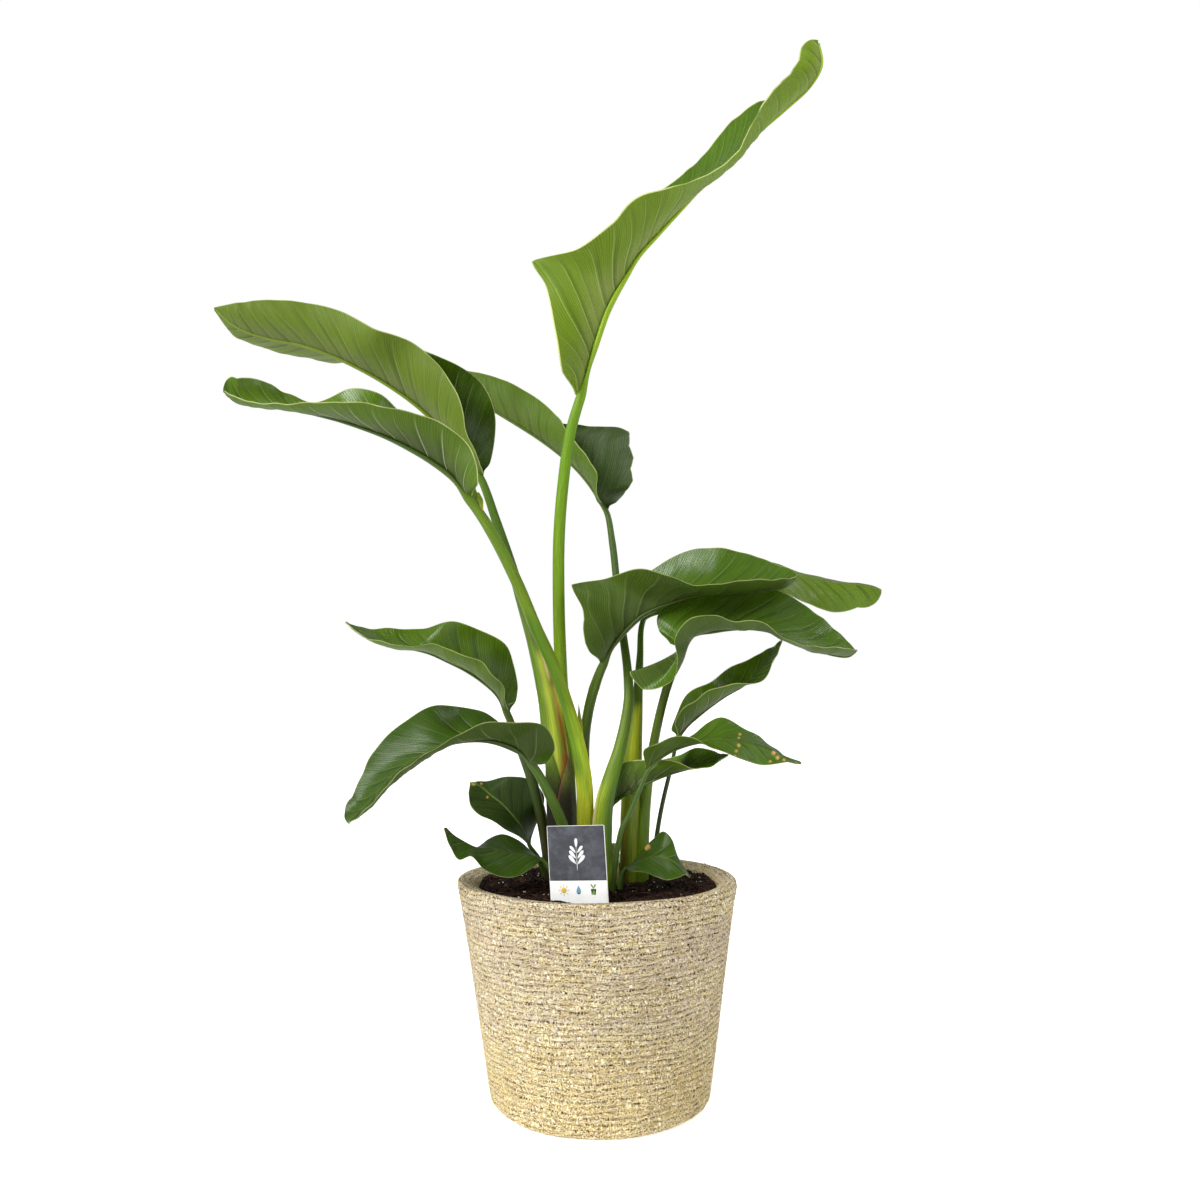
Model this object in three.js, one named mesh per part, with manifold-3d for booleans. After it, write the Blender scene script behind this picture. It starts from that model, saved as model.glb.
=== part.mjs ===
// A potted bird of paradise in its seagrass basket, in millimetres, +Z up. The origin is the middle of
// the basket's flat underside, and the plant is seen from the front when looking along +Y.
import * as THREE from "three";
import { mergeVertices } from "three/addons/utils/BufferGeometryUtils.js";
import Module from "manifold-3d";

const wasm = await Module();
wasm.setup();
const { Manifold, Mesh: SolidMesh } = wasm;

// Driving dimensions
const BASKET = { height: 169, rimRadius: 108.5, footRadius: 84.3, rimWall: 14, wall: 10, floor: 8 };
const BASKET_FOOT_ROUND = 8;
const BASKET_SIDES = 48;
const POT = { rimRadius: 91, baseRadius: 68, height: 140, wall: 1.4, lip: 2, lipDrop: 6, taper: 1 };
const POT_SIDES = 32;
const DRAINS = { count: 6, radius: 5, ringShare: 0.7, sides: 10 };
const SOIL = { top: 160.5, edgeTop: 157, overhang: 1.2, lump: 1.2, rings: [0.93, 0.75, 0.55, 0.35, 0.17] };
const LABEL = { width: 42, above: 55, below: 31, thick: 0.9, foot: 12, taper: 16, corner: 3 };
const LABEL_STANDS = { at: [-14.6, -76, 162.5], tipsBack: 3, leans: 3.8 };
const GAP = 0.3;
const BLADE_THICK = 1.1;
const KEEL = { depth: 1.1, least: 0.9, atTip: 0.14, fade: 0.7, shoulder: 0.4 };
const BLADE_SHAPE = { fullest: 0.8, round: 0.55 };
const SPROUT = 0.3;
const TIP_RING = 0.25;
const HOLE_ROOM = 0.6;
const RING = 14;
const SHEATH_STEPS = 6;

// Every leaf is drawn as it is seen from the front, by an eye that stands this far before the basket's
// axis, this high over its foot, and looks up by this angle. across and up are millimetres on a sheet of
// glass held square to the line of sight, through the axis. deep is the real distance behind the axis.
const EYE = { distance: 870, height: 323, lookUp: 4.13 };
const lookUp = THREE.MathUtils.degToRad(EYE.lookUp);
const sheetUp = new THREE.Vector3(0, -Math.sin(lookUp), Math.cos(lookUp));
const sheetAhead = new THREE.Vector3(0, Math.cos(lookUp), Math.sin(lookUp));
const sheetDistance = EYE.distance / Math.cos(lookUp);

function place([across, up, deep]) {
  const eye = new THREE.Vector3(0, -EYE.distance, EYE.height);
  const ray = new THREE.Vector3(across, 0, 0).addScaledVector(sheetUp, up);
  ray.addScaledVector(sheetAhead, sheetDistance);
  return eye.addScaledVector(ray, (deep + EYE.distance) / ray.y);
}

// The leaves. stalk runs from its foot in the soil to just under the blade: across, up, deep, half its
// width and, where it is flattened, half its depth. blade has a row for each main vein, from the base to
// the tip: the midrib's across, up and deep, then where the vein ends on the near edge and on the far
// edge, across and up. reach is the real half width of the blade, which gives both edges their depth, and
// cup is how far each half bulges under, as a share of its width.
const LEAVES = {
  leaf_top: {
    colour: 0x7a9a2f,
    reach: 54,
    cup: 0.1,
    stalk: [
      [-26, -252, 9, 7, 6],
      [-26, -228, 9, 7, 6],
      [-27, -184, 9, 7, 6],
      [-28, -125, 9, 6.4, 5.6],
      [-31, -64, 8, 5.2],
      [-33, -10, 5, 5],
      [-33, 48, 3, 4.9],
      [-30, 90, 2, 4.8],
      [-24, 133, 1, 4.7],
    ],
    blade: [
      [[-16, 161, 0], [-20, 164], [-15, 166]],
      [[-10, 178, 1], [-30, 184], [-20, 194]],
      [[-2, 200, 3], [-35, 210], [-24, 222]],
      [[7, 227, 5], [-44, 252], [-22, 250]],
      [[14, 242, 7], [-52, 269], [-12, 268]],
      [[22, 256, 9], [-18, 281], [0, 284]],
      [[32, 273, 11], [9, 301], [13, 298]],
      [[46, 289, 13], [29, 322], [34, 318]],
      [[66, 311, 16], [57, 330], [62, 337]],
      [[88, 335, 20], [85, 340], [82, 355]],
      [[108, 354, 23], [107, 355], [101, 378]],
      [[128, 373, 26], [119, 376], [122, 396]],
      [[150, 393, 28], [136, 404], [140, 404]],
      [[170, 412, 30], [152, 424], [157, 420]],
      [[179, 433, 31], [162, 443], [167, 440]],
      [[172, 450, 32], [171, 450], [173, 450]],
    ],
  },
  leaf_upper_left: {
    colour: 0x6f8f3a,
    reach: 45,
    cup: 0.12,
    stalk: [
      [-29, -256, -7, 8, 6.5],
      [-29, -234, -7, 8, 6.5],
      [-31, -184, -7, 8.5, 6.5],
      [-34, -140, -6, 9, 6.5],
      [-38.5, -100, -4, 8.8, 6],
      [-43, -72, 0, 7.6, 5.6],
      [-53, -32, 7, 5.8, 5],
      [-62, -2, 13, 4.8],
      [-70, 26, 19, 4.3],
      [-82, 61, 25, 4.1],
    ],
    blade: [
      [[-95, 97, 30], [-93, 101], [-93, 99]],
      [[-103, 108, 30], [-98, 113], [-88, 110]],
      [[-115, 122, 30], [-107, 137], [-84, 128]],
      [[-131, 139, 29], [-111, 157], [-85, 154]],
      [[-150, 156, 28], [-126, 184], [-97, 176]],
      [[-173, 172, 26], [-150, 206], [-134, 197]],
      [[-196, 185, 24], [-180, 217], [-170, 204]],
      [[-217, 195, 22], [-207, 231], [-209, 192]],
      [[-240, 203, 20], [-236, 238], [-237, 195]],
      [[-265, 208, 18], [-265, 240], [-264, 201]],
      [[-290, 217, 16], [-288, 238], [-290, 210]],
      [[-309, 233, 15], [-309, 234], [-309, 232]],
    ],
  },
  leaf_left: {
    colour: 0x55752f,
    reach: 37,
    cup: 0.12,
    stalk: [
      [-10, -258, -12, 6.5, 5],
      [-10, -237, -12, 6.5, 5],
      [-11.5, -180, -13, 6.8, 5],
      [-12.5, -146, -15, 6.6, 5],
      [-17, -118, -17, 6, 5],
      [-26, -84, -19, 5.2],
      [-38, -50, -22, 5],
      [-51, -22, -26, 5],
      [-66, 14, -32, 4.8],
      [-88, 57, -40, 4.6],
    ],
    blade: [
      [[-104, 80, -45], [-102, 82], [-102, 80]],
      [[-112, 88, -46], [-98, 94], [-96, 76]],
      [[-122, 98, -47], [-99, 110], [-107, 108]],
      [[-138, 110, -48], [-108, 127], [-118, 125]],
      [[-155, 120, -50], [-127, 142], [-138, 140]],
      [[-173, 129, -52], [-151, 150], [-160, 151]],
      [[-191, 136, -54], [-175, 155], [-178, 166]],
      [[-209, 142, -56], [-201, 159], [-202, 168]],
      [[-228, 147, -58], [-224, 158], [-229, 158]],
      [[-250, 152, -60], [-250, 157], [-252, 166]],
      [[-272, 154, -62], [-273, 158], [-271, 176]],
      [[-290, 157, -64], [-290, 161], [-290, 177]],
      [[-301, 166, -65], [-301, 165], [-300, 168]],
    ],
  },
  leaf_back: {
    colour: 0x50702c,
    reach: 36,
    cup: 0.1,
    stalk: [
      [3, -260, -20, 7, 5.5],
      [3, -238, -20, 7, 5.5],
      [1.5, -184, -20, 8, 5.5],
      [4, -160, -20, 7, 5.5],
      [9.5, -140, -18, 6, 5],
      [15.5, -120, -14, 5, 4.6],
      [20, -100, -8, 4.4],
      [23, -78, 0, 4],
      [22, -56, 10, 3.6],
      [18, -25, 24, 3.3],
      [14, 8, 38, 3.1],
      [10, 45, 51, 3],
    ],
    blade: [
      [[5, 71, 60], [4, 73], [7, 73]],
      [[0, 77, 62], [-2, 84], [14, 79]],
      [[-9, 91, 65], [-3, 101], [24, 91]],
      [[-21, 105, 70], [-10, 114], [26, 111]],
      [[-35, 117, 76], [-20, 127], [20, 136]],
      [[-50, 128, 83], [-33, 145], [-4, 139]],
      [[-67, 139, 90], [-50, 161], [-34, 142]],
      [[-88, 152, 98], [-77, 176], [-70, 157]],
      [[-112, 168, 106], [-104, 183], [-100, 172]],
      [[-140, 186, 112], [-140, 187], [-140, 185]],
    ],
  },
  leaf_right: {
    colour: 0x4f6f2b,
    reach: 48,
    cup: 0.1,
    stalk: [
      [-9, -246, 17, 4.4],
      [-9, -225, 17, 4.4],
      [-11, -170, 17, 4.4],
      [-12.5, -115, 13, 4.3],
      [-9.5, -90, 7, 4.2],
      [-4.5, -70, 1, 4.2],
    ],
    blade: [
      [[2, -53, -5], [0, -51], [4, -52]],
      [[8, -43, -7], [-9, -40], [8, -27]],
      [[16, -33, -8], [-13, -26], [8, -10]],
      [[25, -23, -9], [-14, -8], [12, 3]],
      [[35, -14, -10], [-20, 11], [18, 10]],
      [[47, -8, -11], [4, 17], [28, 16]],
      [[60, -3, -12], [31, 25], [46, 27]],
      [[76, 2, -13], [55, 19], [70, 39]],
      [[96, 4, -14], [80, 12], [92, 42]],
      [[118, 5, -15], [110, 15], [117, 37]],
      [[138, 7, -15], [134, 17], [138, 30]],
      [[151, 11, -15], [150, 17], [153, 24]],
      [[158, 19, -15], [157, 19], [158, 20]],
    ],
  },
  leaf_right_back: {
    colour: 0x5f822f,
    reach: 31,
    cup: -0.06,
    stalk: [
      [22, -249, 10, 6, 6],
      [22, -227, 10, 6, 6],
      [23, -175, 10, 7, 6],
      [26, -130, 10, 7.6, 5.4],
      [28.5, -95, 12, 5.6, 4.6],
      [30.5, -70, 16, 3.8],
      [32, -45, 24, 2.8],
    ],
    blade: [
      [[34, -18, 34], [35, -18], [33, -16]],
      [[44, -1, 38], [52, -10], [45, 3]],
      [[66, 15, 42], [76, 0], [66, 19]],
      [[95, 23, 45], [104, 5], [95, 26]],
      [[130, 27, 46], [137, 8], [132, 30]],
      [[158, 19, 45], [166, -3], [158, 21]],
      [[185, 13, 43], [188, -10], [186, 14]],
      [[208, 11, 41], [206, -6], [209, 12]],
      [[225, 7, 39], [224, 6], [225, 8]],
    ],
  },
  leaf_right_waved: {
    colour: 0x4a6a2b,
    reach: 46,
    cup: 0.08,
    sprout: 0.1,
    stalk: [
      [33.8, -249, 9, 4.6],
      [33.8, -227, 9, 4.6],
      [35.3, -175, 9, 4.2],
      [39, -140, 9, 3.9],
      [43, -114, 5, 3.8],
      [48, -90, -2, 3.6],
      [54, -68, -10, 3.5],
      [60, -52, -16, 3.4],
    ],
    blade: [
      [[65, -39, -21], [24, -57], [56, -35]],
      [[67, -36, -23], [36, -71], [47, -24]],
      [[70, -33, -24], [56, -66], [46, -13]],
      [[74, -30, -25], [62, -47], [58, 0]],
      [[80, -28, -26], [60, -31], [75, 8]],
      [[89, -27, -27], [73, -14], [90, 12]],
      [[102, -25, -28], [92, -12], [106, 14]],
      [[118, -24, -29], [109, -18], [122, 14]],
      [[134, -26, -30], [127, -16], [140, 9]],
      [[150, -31, -30], [144, -28], [158, 0]],
      [[168, -39, -30], [165, -37], [174, -12]],
      [[186, -45, -30], [185, -37], [189, -24]],
      [[199, -46, -30], [199, -39], [200, -35]],
      [[206, -41, -30], [206, -40], [206, -42]],
    ],
  },
  leaf_mid_right: {
    colour: 0x4d6d2c,
    reach: 24,
    cup: 0.1,
    stalk: [
      [41, -248, 12, 2],
      [41, -227, 12, 2],
      [46, -184, 10, 1.9],
      [50, -162, 9, 1.8],
      [56, -137, 7, 1.8],
    ],
    blade: [
      [[63, -110, 5], [62, -108], [61, -109]],
      [[69, -103, 4], [60, -97], [57, -103]],
      [[78, -95, 2], [66, -87], [62, -90]],
      [[89, -86, 0], [76, -81], [70, -75]],
      [[102, -77, -2], [89, -71], [87, -66]],
      [[114, -70, -4], [107, -67], [104, -54]],
      [[126, -60, -5], [131, -64], [122, -46]],
      [[137, -46, -6], [139, -48], [135, -39]],
      [[146, -32, -7], [146, -33], [145, -32]],
    ],
  },
  leaf_spotted: {
    colour: 0x4b6b2a,
    reach: 24,
    cup: 0.06,
    stalk: [
      [9, -260, -38, 2],
      [9.5, -240, -38, 2],
      [17, -184, -38, 2],
      [23, -172, -38, 2],
      [31, -153, -38, 1.9],
    ],
    blade: [
      [[38, -137, -38], [36, -134], [39, -135]],
      [[44, -131, -40], [35, -120], [46, -126]],
      [[56, -123, -43], [46, -115], [58, -116]],
      [[68, -118, -46], [60, -108], [74, -107]],
      [[80, -115, -49], [75, -111], [86, -99]],
      [[93, -113, -51], [88, -118], [97, -94]],
      [[107, -114, -53], [104, -123], [113, -101]],
      [[122, -116, -54], [120, -130], [127, -109]],
      [[137, -121, -55], [137, -132], [140, -119]],
      [[149, -127, -55], [149, -130], [150, -127]],
      [[161, -131, -55], [161, -131.5], [161, -130.5]],
    ],
  },
  leaf_crossing: {
    colour: 0x587a2e,
    reach: 20,
    cup: 0.06,
    stalk: [
      [6, -250, -4, 2.6],
      [6, -229, -4, 2.6],
      [5, -190, -4, 2.6],
    ],
    blade: [
      [[9, -164, -5], [8, -162], [10, -162]],
      [[14, -161, -7], [11, -148], [16, -150]],
      [[22, -156, -11], [16, -132], [22, -134]],
      [[32, -151, -13], [28, -128], [33, -129]],
      [[44, -145, -15], [46, -128], [50, -128]],
      [[57, -140, -19], [60, -129], [64, -124]],
      [[70, -136, -24], [73, -134], [78, -118]],
      [[84, -132, -27], [85, -134], [92, -121]],
      [[95, -128, -29], [95, -129], [98, -123]],
      [[103, -124, -30], [103, -124.5], [103, -123.5]],
    ],
  },
  leaf_low_right: {
    colour: 0x4a6a2b,
    reach: 24,
    cup: 0.04,
    stalk: [
      [16, -255, -25, 2.2],
      [16, -236, -25, 2.2],
      [16.5, -226, -25, 2.2],
    ],
    blade: [
      [[19, -217, -25], [20, -217], [19, -215]],
      [[25, -213, -28], [26, -217], [25, -211]],
      [[33, -209, -31], [35, -218], [32, -203]],
      [[42, -207, -34], [45, -221], [42, -191]],
      [[51, -207, -36], [55, -224], [51, -185]],
      [[59, -211, -38], [62, -222], [58, -192]],
      [[65, -216, -39], [67, -220], [63, -207]],
      [[72, -222, -40], [72, -222.5], [72, -221.5]],
    ],
  },
  leaf_mid_left: {
    colour: 0x4b6b2a,
    reach: 32,
    cup: 0.1,
    stalk: [
      [-40, -243, 8, 4.4],
      [-40, -223, 8, 4.4],
      [-43, -195, 7, 4.6],
      [-47, -172, 4, 4.6],
      [-55, -142, -2, 4.1],
      [-66, -112, -7, 3.6],
    ],
    blade: [
      [[-74, -91, -8], [-73, -90], [-72, -90]],
      [[-79, -83, -9], [-76, -80], [-67, -80]],
      [[-86, -74, -11], [-77, -70], [-66, -69]],
      [[-96, -65, -13], [-86, -59], [-69, -51]],
      [[-108, -57, -16], [-95, -49], [-76, -35]],
      [[-122, -50, -19], [-112, -44], [-96, -24]],
      [[-138, -43, -23], [-130, -35], [-118, -17]],
      [[-156, -39, -27], [-150, -37], [-142, -23]],
      [[-175, -34, -31], [-173, -34], [-168, -23]],
      [[-191, -28, -34], [-190, -28], [-188, -22]],
      [[-204, -18, -37], [-204, -18], [-204, -18.5]],
    ],
  },
  leaf_arched_left: {
    colour: 0x4d6d2c,
    reach: 36,
    cup: 0.12,
    stalk: [
      [-18, -262, -31, 4.2],
      [-18, -240, -31, 4.2],
      [-22, -205, -33, 4.2],
      [-30, -179, -38, 4.2],
      [-41, -154, -46, 4],
    ],
    blade: [
      [[-54, -132, -55], [-52, -131], [-55, -130]],
      [[-60, -127, -57], [-42, -130], [-57, -121]],
      [[-70, -121, -60], [-36, -117], [-66, -107]],
      [[-83, -116, -63], [-44, -101], [-78, -100]],
      [[-97, -114, -66], [-66, -98], [-94, -89]],
      [[-113, -115, -69], [-88, -98], [-112, -86]],
      [[-129, -119, -72], [-110, -105], [-133, -84]],
      [[-146, -128, -75], [-130, -118], [-157, -98]],
      [[-161, -138, -78], [-150, -130], [-178, -117]],
      [[-175, -152, -81], [-168, -145], [-190, -138]],
      [[-188, -167, -84], [-184, -165], [-198, -158]],
      [[-201, -179, -86], [-200, -179], [-202, -178]],
    ],
  },
  leaf_low_back: {
    colour: 0x3f5f27,
    reach: 26,
    cup: 0.06,
    stalk: [
      [-44, -242, 19, 2.2],
      [-44, -222, 19, 2.2],
      [-49, -207, 18, 2.1],
    ],
    blade: [
      [[-56, -197, 14], [-57, -196], [-55, -196]],
      [[-59, -191, 15], [-64, -189], [-53, -185]],
      [[-64, -182, 17], [-76, -183], [-47, -170]],
      [[-71, -172, 19], [-88, -176], [-45, -156]],
      [[-79, -163, 21], [-98, -171], [-55, -144]],
      [[-88, -156, 23], [-104, -163], [-72, -141]],
      [[-96, -150, 24], [-105, -155], [-88, -144]],
      [[-104, -146, 25], [-104, -147], [-103, -146]],
    ],
  },
  leaf_low_left: {
    colour: 0x4b6b2a,
    reach: 23,
    cup: 0.04,
    stalk: [
      [-33, -256, -35, 2.2],
      [-33, -238, -35, 2.2],
      [-37, -222, -37, 2.2],
    ],
    blade: [
      [[-45, -209, -38], [-46, -210], [-46, -208]],
      [[-52, -206, -40], [-54, -214], [-53, -203]],
      [[-62, -204, -43], [-66, -221], [-64, -193]],
      [[-75, -203, -46], [-80, -221], [-77, -187]],
      [[-88, -201, -48], [-92, -216], [-89, -191]],
      [[-100, -199, -50], [-103, -206], [-100, -199]],
      [[-110, -194, -51], [-113, -207], [-108, -197]],
      [[-118, -189, -52], [-120, -197], [-117, -191]],
      [[-125, -182, -53], [-125, -183], [-124, -182]],
    ],
  },
};

// Old sheaths, left round the foot of the clump where a leaf has fallen. Each is a curved strip: its
// middle line, then the radius it curves with, its half angle, and the way that its back faces.
const SHEATHS = {
  old_sheath_left: {
    colour: 0x8a6a3a,
    thick: 1.2,
    facing: -112,
    steps: [
      { at: [-31, -257, -7], radius: [9.6, 8], half: 62 },
      { at: [-31, -236, -7], radius: [9.6, 8], half: 62 },
      { at: [-32, -184, -7], radius: [10.1, 8], half: 60 },
      { at: [-34, -150, -6.5], radius: [10.4, 8], half: 46 },
      { at: [-35.5, -132, -6], radius: [10.6, 8], half: 28 },
      { at: [-36.5, -120, -5.5], radius: [10.7, 8], half: 8 },
    ],
  },
  old_sheath_stub: {
    colour: 0xb9b67a,
    thick: 1.2,
    facing: -80,
    steps: [
      { at: [12, -254, -12], radius: [2.6, 2.6], half: 120 },
      { at: [12, -234, -12], radius: [2.6, 2.6], half: 120 },
      { at: [11.5, -208, -12], radius: [2.6, 2.6], half: 110 },
      { at: [11, -194, -12], radius: [2.4, 2.4], half: 50 },
    ],
  },
};

function finish(colour, roughness = 0.5) {
  return new THREE.MeshStandardMaterial({ color: colour, roughness, metalness: 0, flatShading: true });
}

function named(name, geometry, material) {
  const mesh = new THREE.Mesh(geometry, material);
  mesh.name = name;
  return mesh;
}

// A closed mesh made of rings with the same even number of points. Each ring goes along one side and back
// along the other, so an end is closed by joining the two sides, or by a point where a tip is given. Both
// sides are cut into triangles alike, so that they can't cross where a thin blade is waved.
function skinRings(rings, tip = null) {
  const count = rings[0].length;
  const points = tip ? [...rings.flat(), tip] : rings.flat();
  const faces = [];
  const closeEnd = (base, turn) => {
    for (let i = 0; i + 1 < count / 2; i++) {
      const quad = [base + i, base + i + 1, base + count - 2 - i, base + count - 1 - i];
      const [a, b, c, d] = turn ? quad.reverse() : quad;
      faces.push(a, b, c, a, c, d);
    }
  };
  for (let ring = 0; ring + 1 < rings.length; ring++) {
    for (let i = 0; i < count; i++) {
      const next = (i + 1) % count;
      const here = ring * count;
      const ahead = here + count;
      const [a, b, c, d] = [here + i, here + next, ahead + next, ahead + i];
      if (i < count / 2) faces.push(a, b, c, a, c, d);
      else faces.push(a, b, d, b, c, d);
    }
  }
  const end = (rings.length - 1) * count;
  closeEnd(0, true);
  if (tip) {
    for (let i = 0; i < count; i++) faces.push(points.length - 1, end + i, end + ((i + 1) % count));
  } else {
    closeEnd(end, false);
  }
  return facingOut(points, faces);
}

function facingOut(points, faces) {
  const cross = new THREE.Vector3();
  let volume = 0;
  for (let i = 0; i < faces.length; i += 3) {
    volume += points[faces[i]].dot(cross.crossVectors(points[faces[i + 1]], points[faces[i + 2]]));
  }
  if (volume < 0) faces.reverse();
  const geometry = new THREE.BufferGeometry().setFromPoints(points);
  geometry.setIndex(faces);
  return geometry;
}

function average(points) {
  return points.reduce((sum, point) => sum.add(point), new THREE.Vector3()).divideScalar(points.length);
}

// Manifold solids from geometries and back
function solid(geometry) {
  const bare = new THREE.BufferGeometry().setAttribute("position", geometry.getAttribute("position"));
  if (geometry.index) bare.setIndex(geometry.index);
  const merged = mergeVertices(bare, 1e-4);
  const triVerts = new Uint32Array(merged.index.array);
  const vertProperties = merged.attributes.position.array;
  return new Manifold(new SolidMesh({ numProp: 3, vertProperties, triVerts }));
}

function geometryOf(made) {
  const mesh = made.getMesh();
  const geometry = new THREE.BufferGeometry();
  geometry.setAttribute("position", new THREE.BufferAttribute(mesh.vertProperties, 3));
  geometry.setIndex(new THREE.BufferAttribute(mesh.triVerts, 1));
  return geometry;
}

// Leaves
function smoothCurve(points) {
  return new THREE.CatmullRomCurve3(points, false, "centripetal");
}

// How much of its full half width a blade has, from its base at 0 to its tip at 1.
function bladeShape(along) {
  const { fullest, round } = BLADE_SHAPE;
  return Math.pow(Math.sin(Math.PI * Math.pow(THREE.MathUtils.clamp(along, 0, 1), fullest)), round);
}

function edgePoint(midrib, [across, up], reach, side) {
  const [, , deep] = midrib;
  const flat = place([across, up, deep]).distanceTo(place(midrib));
  return place([across, up, deep + side * Math.sqrt(Math.max(0, reach * reach - flat * flat))]);
}

// The three lines that a leaf hangs on, with one point for each stalk point and each blade row.
function leafLines({ stalk, blade, reach }) {
  const stem = stalk.map(place);
  const reachAt = (row) => reach * bladeShape(row / (blade.length - 1));
  return {
    midrib: smoothCurve([...stem, ...blade.map(([mid]) => place(mid))]),
    near: smoothCurve([...stem, ...blade.map(([mid, near], row) => edgePoint(mid, near, reachAt(row), -1))]),
    far: smoothCurve([...stem, ...blade.map(([mid, , far], row) => edgePoint(mid, far, reachAt(row), 1))]),
  };
}

// Half the stalk's width and depth at a point of the leaf's length. Past the last stalk point it is the
// midrib, which thins towards the tip.
function stalkSize({ stalk, blade }, at) {
  const sizes = stalk.map(([, , , width, depth]) => [width, depth ?? width]);
  const last = sizes.at(-1);
  if (at >= stalk.length - 1) {
    const along = THREE.MathUtils.clamp((at - stalk.length + 1) / blade.length, 0, 1);
    const thin = THREE.MathUtils.lerp(1, KEEL.atTip, Math.pow(along, KEEL.fade));
    return last.map((size) => size * thin);
  }
  const step = Math.floor(at);
  return sizes[step].map((size, i) => THREE.MathUtils.lerp(size, sizes[step + 1][i], at - step));
}

function squareTo(vector, tangent) {
  return vector.clone().addScaledVector(tangent, -vector.dot(tangent)).normalize();
}

// A round ring of the stalk, seen from the front as wide and as deep as size says.
function stalkRing(centre, tangent, upper, [width, depth], extra = 0) {
  const wide = squareTo(new THREE.Vector3(1, 0, 0), tangent);
  const thick = new THREE.Vector3().crossVectors(tangent, wide);
  const side = new THREE.Vector3().crossVectors(tangent, upper);
  return Array.from({ length: RING }, (_, i) => {
    const turn = ((i - 3) / RING) * 2 * Math.PI;
    const ray = upper.clone().multiplyScalar(Math.cos(turn)).addScaledVector(side, Math.sin(turn));
    const radius = 1 / Math.hypot(ray.dot(wide) / (width + extra), ray.dot(thick) / (depth + extra));
    return centre.clone().addScaledVector(ray, radius);
  });
}

// The two halves of the blade at one ring: the way out to the margin, how far that is, and the way under.
function bladeHalves(centre, edges, tangent, handed) {
  return edges.map((edge, i) => {
    const out = edge.clone().sub(centre);
    const width = out.length();
    out.normalize();
    const under = new THREE.Vector3().crossVectors(tangent, out).multiplyScalar(i ? handed : -handed);
    return { out, width, under: under.normalize() };
  });
}

function wayUnder(halves) {
  return average(halves.map((half) => half.under)).normalize();
}

// A ring of the blade: over the upper side from the far edge to the near one, then back under the keel.
function bladeRing(centre, halves, keel, cup, order) {
  const under = wayUnder(halves);
  const at = (half, share, side) => {
    const bulge = 4 * cup * share * (1 - share) * half.width;
    return centre
      .clone()
      .addScaledVector(half.out, share * half.width)
      .addScaledVector(half.under, bulge + (side * BLADE_THICK) / 2);
  };
  const shares = (half) => [1, 0.5, Math.min(KEEL.shoulder, keel / half.width)];
  const run = (half, side) => shares(half).map((share) => at(half, share, side));
  const [first, second] = halves;
  const top = centre.clone().addScaledVector(under, -BLADE_THICK / 2);
  const bottom = centre.clone().addScaledVector(under, keel * KEEL.depth + BLADE_THICK / 2);
  const ring = [
    ...run(first, -1),
    top,
    ...run(second, -1).reverse(),
    ...run(second, 1),
    bottom,
    ...run(first, 1).reverse(),
  ];
  return order < 0 ? [...ring.slice(0, 7).reverse(), ...ring.slice(7).reverse()] : ring;
}

function leafGeometry(leaf) {
  const lines = leafLines(leaf);
  const points = leaf.stalk.length + leaf.blade.length;
  const start = leaf.stalk.length;
  const sprout = leaf.sprout ?? SPROUT;
  const curveAt = (curve, at) => curve.getPoint(at / (points - 1));
  const stations = [...leaf.stalk.keys(), start, start + sprout];
  for (let row = 1; row < leaf.blade.length - 1; row++) stations.push(start + row);
  stations.push(points - 1 - TIP_RING);
  const handed = Math.sign(leaf.blade.at(-1)[0][0] - leaf.blade[0][0][0]);

  const rings = [];
  let upper = null;
  for (const at of [...stations].reverse()) {
    const centre = curveAt(lines.midrib, at);
    const tangent = lines.midrib.getTangent(at / (points - 1));
    const size = stalkSize(leaf, at);
    if (at > start) {
      const edges = [lines.far, lines.near].map((curve) => curveAt(curve, at));
      const keel = Math.max(size[0], KEEL.least);
      upper = wayUnder(bladeHalves(centre, edges, tangent, handed)).negate();
      // The drawn midrib is the middle of the stalk at the base, and the underside of the keel beyond it.
      const lift = Math.min(1, (at - start) / 2);
      centre.addScaledVector(upper, lift * (keel * KEEL.depth + BLADE_THICK / 2));
      rings.push(bladeRing(centre, bladeHalves(centre, edges, tangent, handed), keel, leaf.cup, handed));
    } else {
      upper = squareTo(upper, tangent);
      rings.push(stalkRing(centre, tangent, upper, size));
    }
  }
  rings.reverse();
  return skinRings(rings, curveAt(lines.midrib, points - 1));
}

// What a stalk takes out of the soil: its own foot, with room round it.
function stalkHole(leaf) {
  const feet = leaf.stalk.slice(0, 3).map(place);
  const way = (i) => feet[Math.min(i + 1, 2)].clone().sub(feet[Math.max(i - 1, 0)]).normalize();
  const rings = feet.map((foot, i) => {
    const tangent = way(i);
    const upper = squareTo(new THREE.Vector3(0, 1, 0), tangent);
    return stalkRing(foot, tangent, upper, stalkSize(leaf, i), HOLE_ROOM);
  });
  rings[0].forEach((point) => point.addScaledVector(way(0), -HOLE_ROOM));
  return solid(skinRings(rings));
}

// Old sheaths
function sheathRing({ at, radius, half }, facing, thick, extra = 0) {
  const centre = place(at);
  const [wide, deep] = radius;
  const wrap = half + THREE.MathUtils.radToDeg(extra / deep);
  const side = (grow, step) => {
    const turn = THREE.MathUtils.degToRad(facing + THREE.MathUtils.lerp(-wrap, wrap, step / SHEATH_STEPS));
    return new THREE.Vector3(Math.cos(turn) * (wide + grow), Math.sin(turn) * (deep + grow), 0).add(centre);
  };
  const steps = [...Array(SHEATH_STEPS + 1).keys()];
  return [
    ...steps.map((step) => side(thick + extra, step)),
    ...steps.reverse().map((step) => side(-extra, step)),
  ];
}

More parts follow.
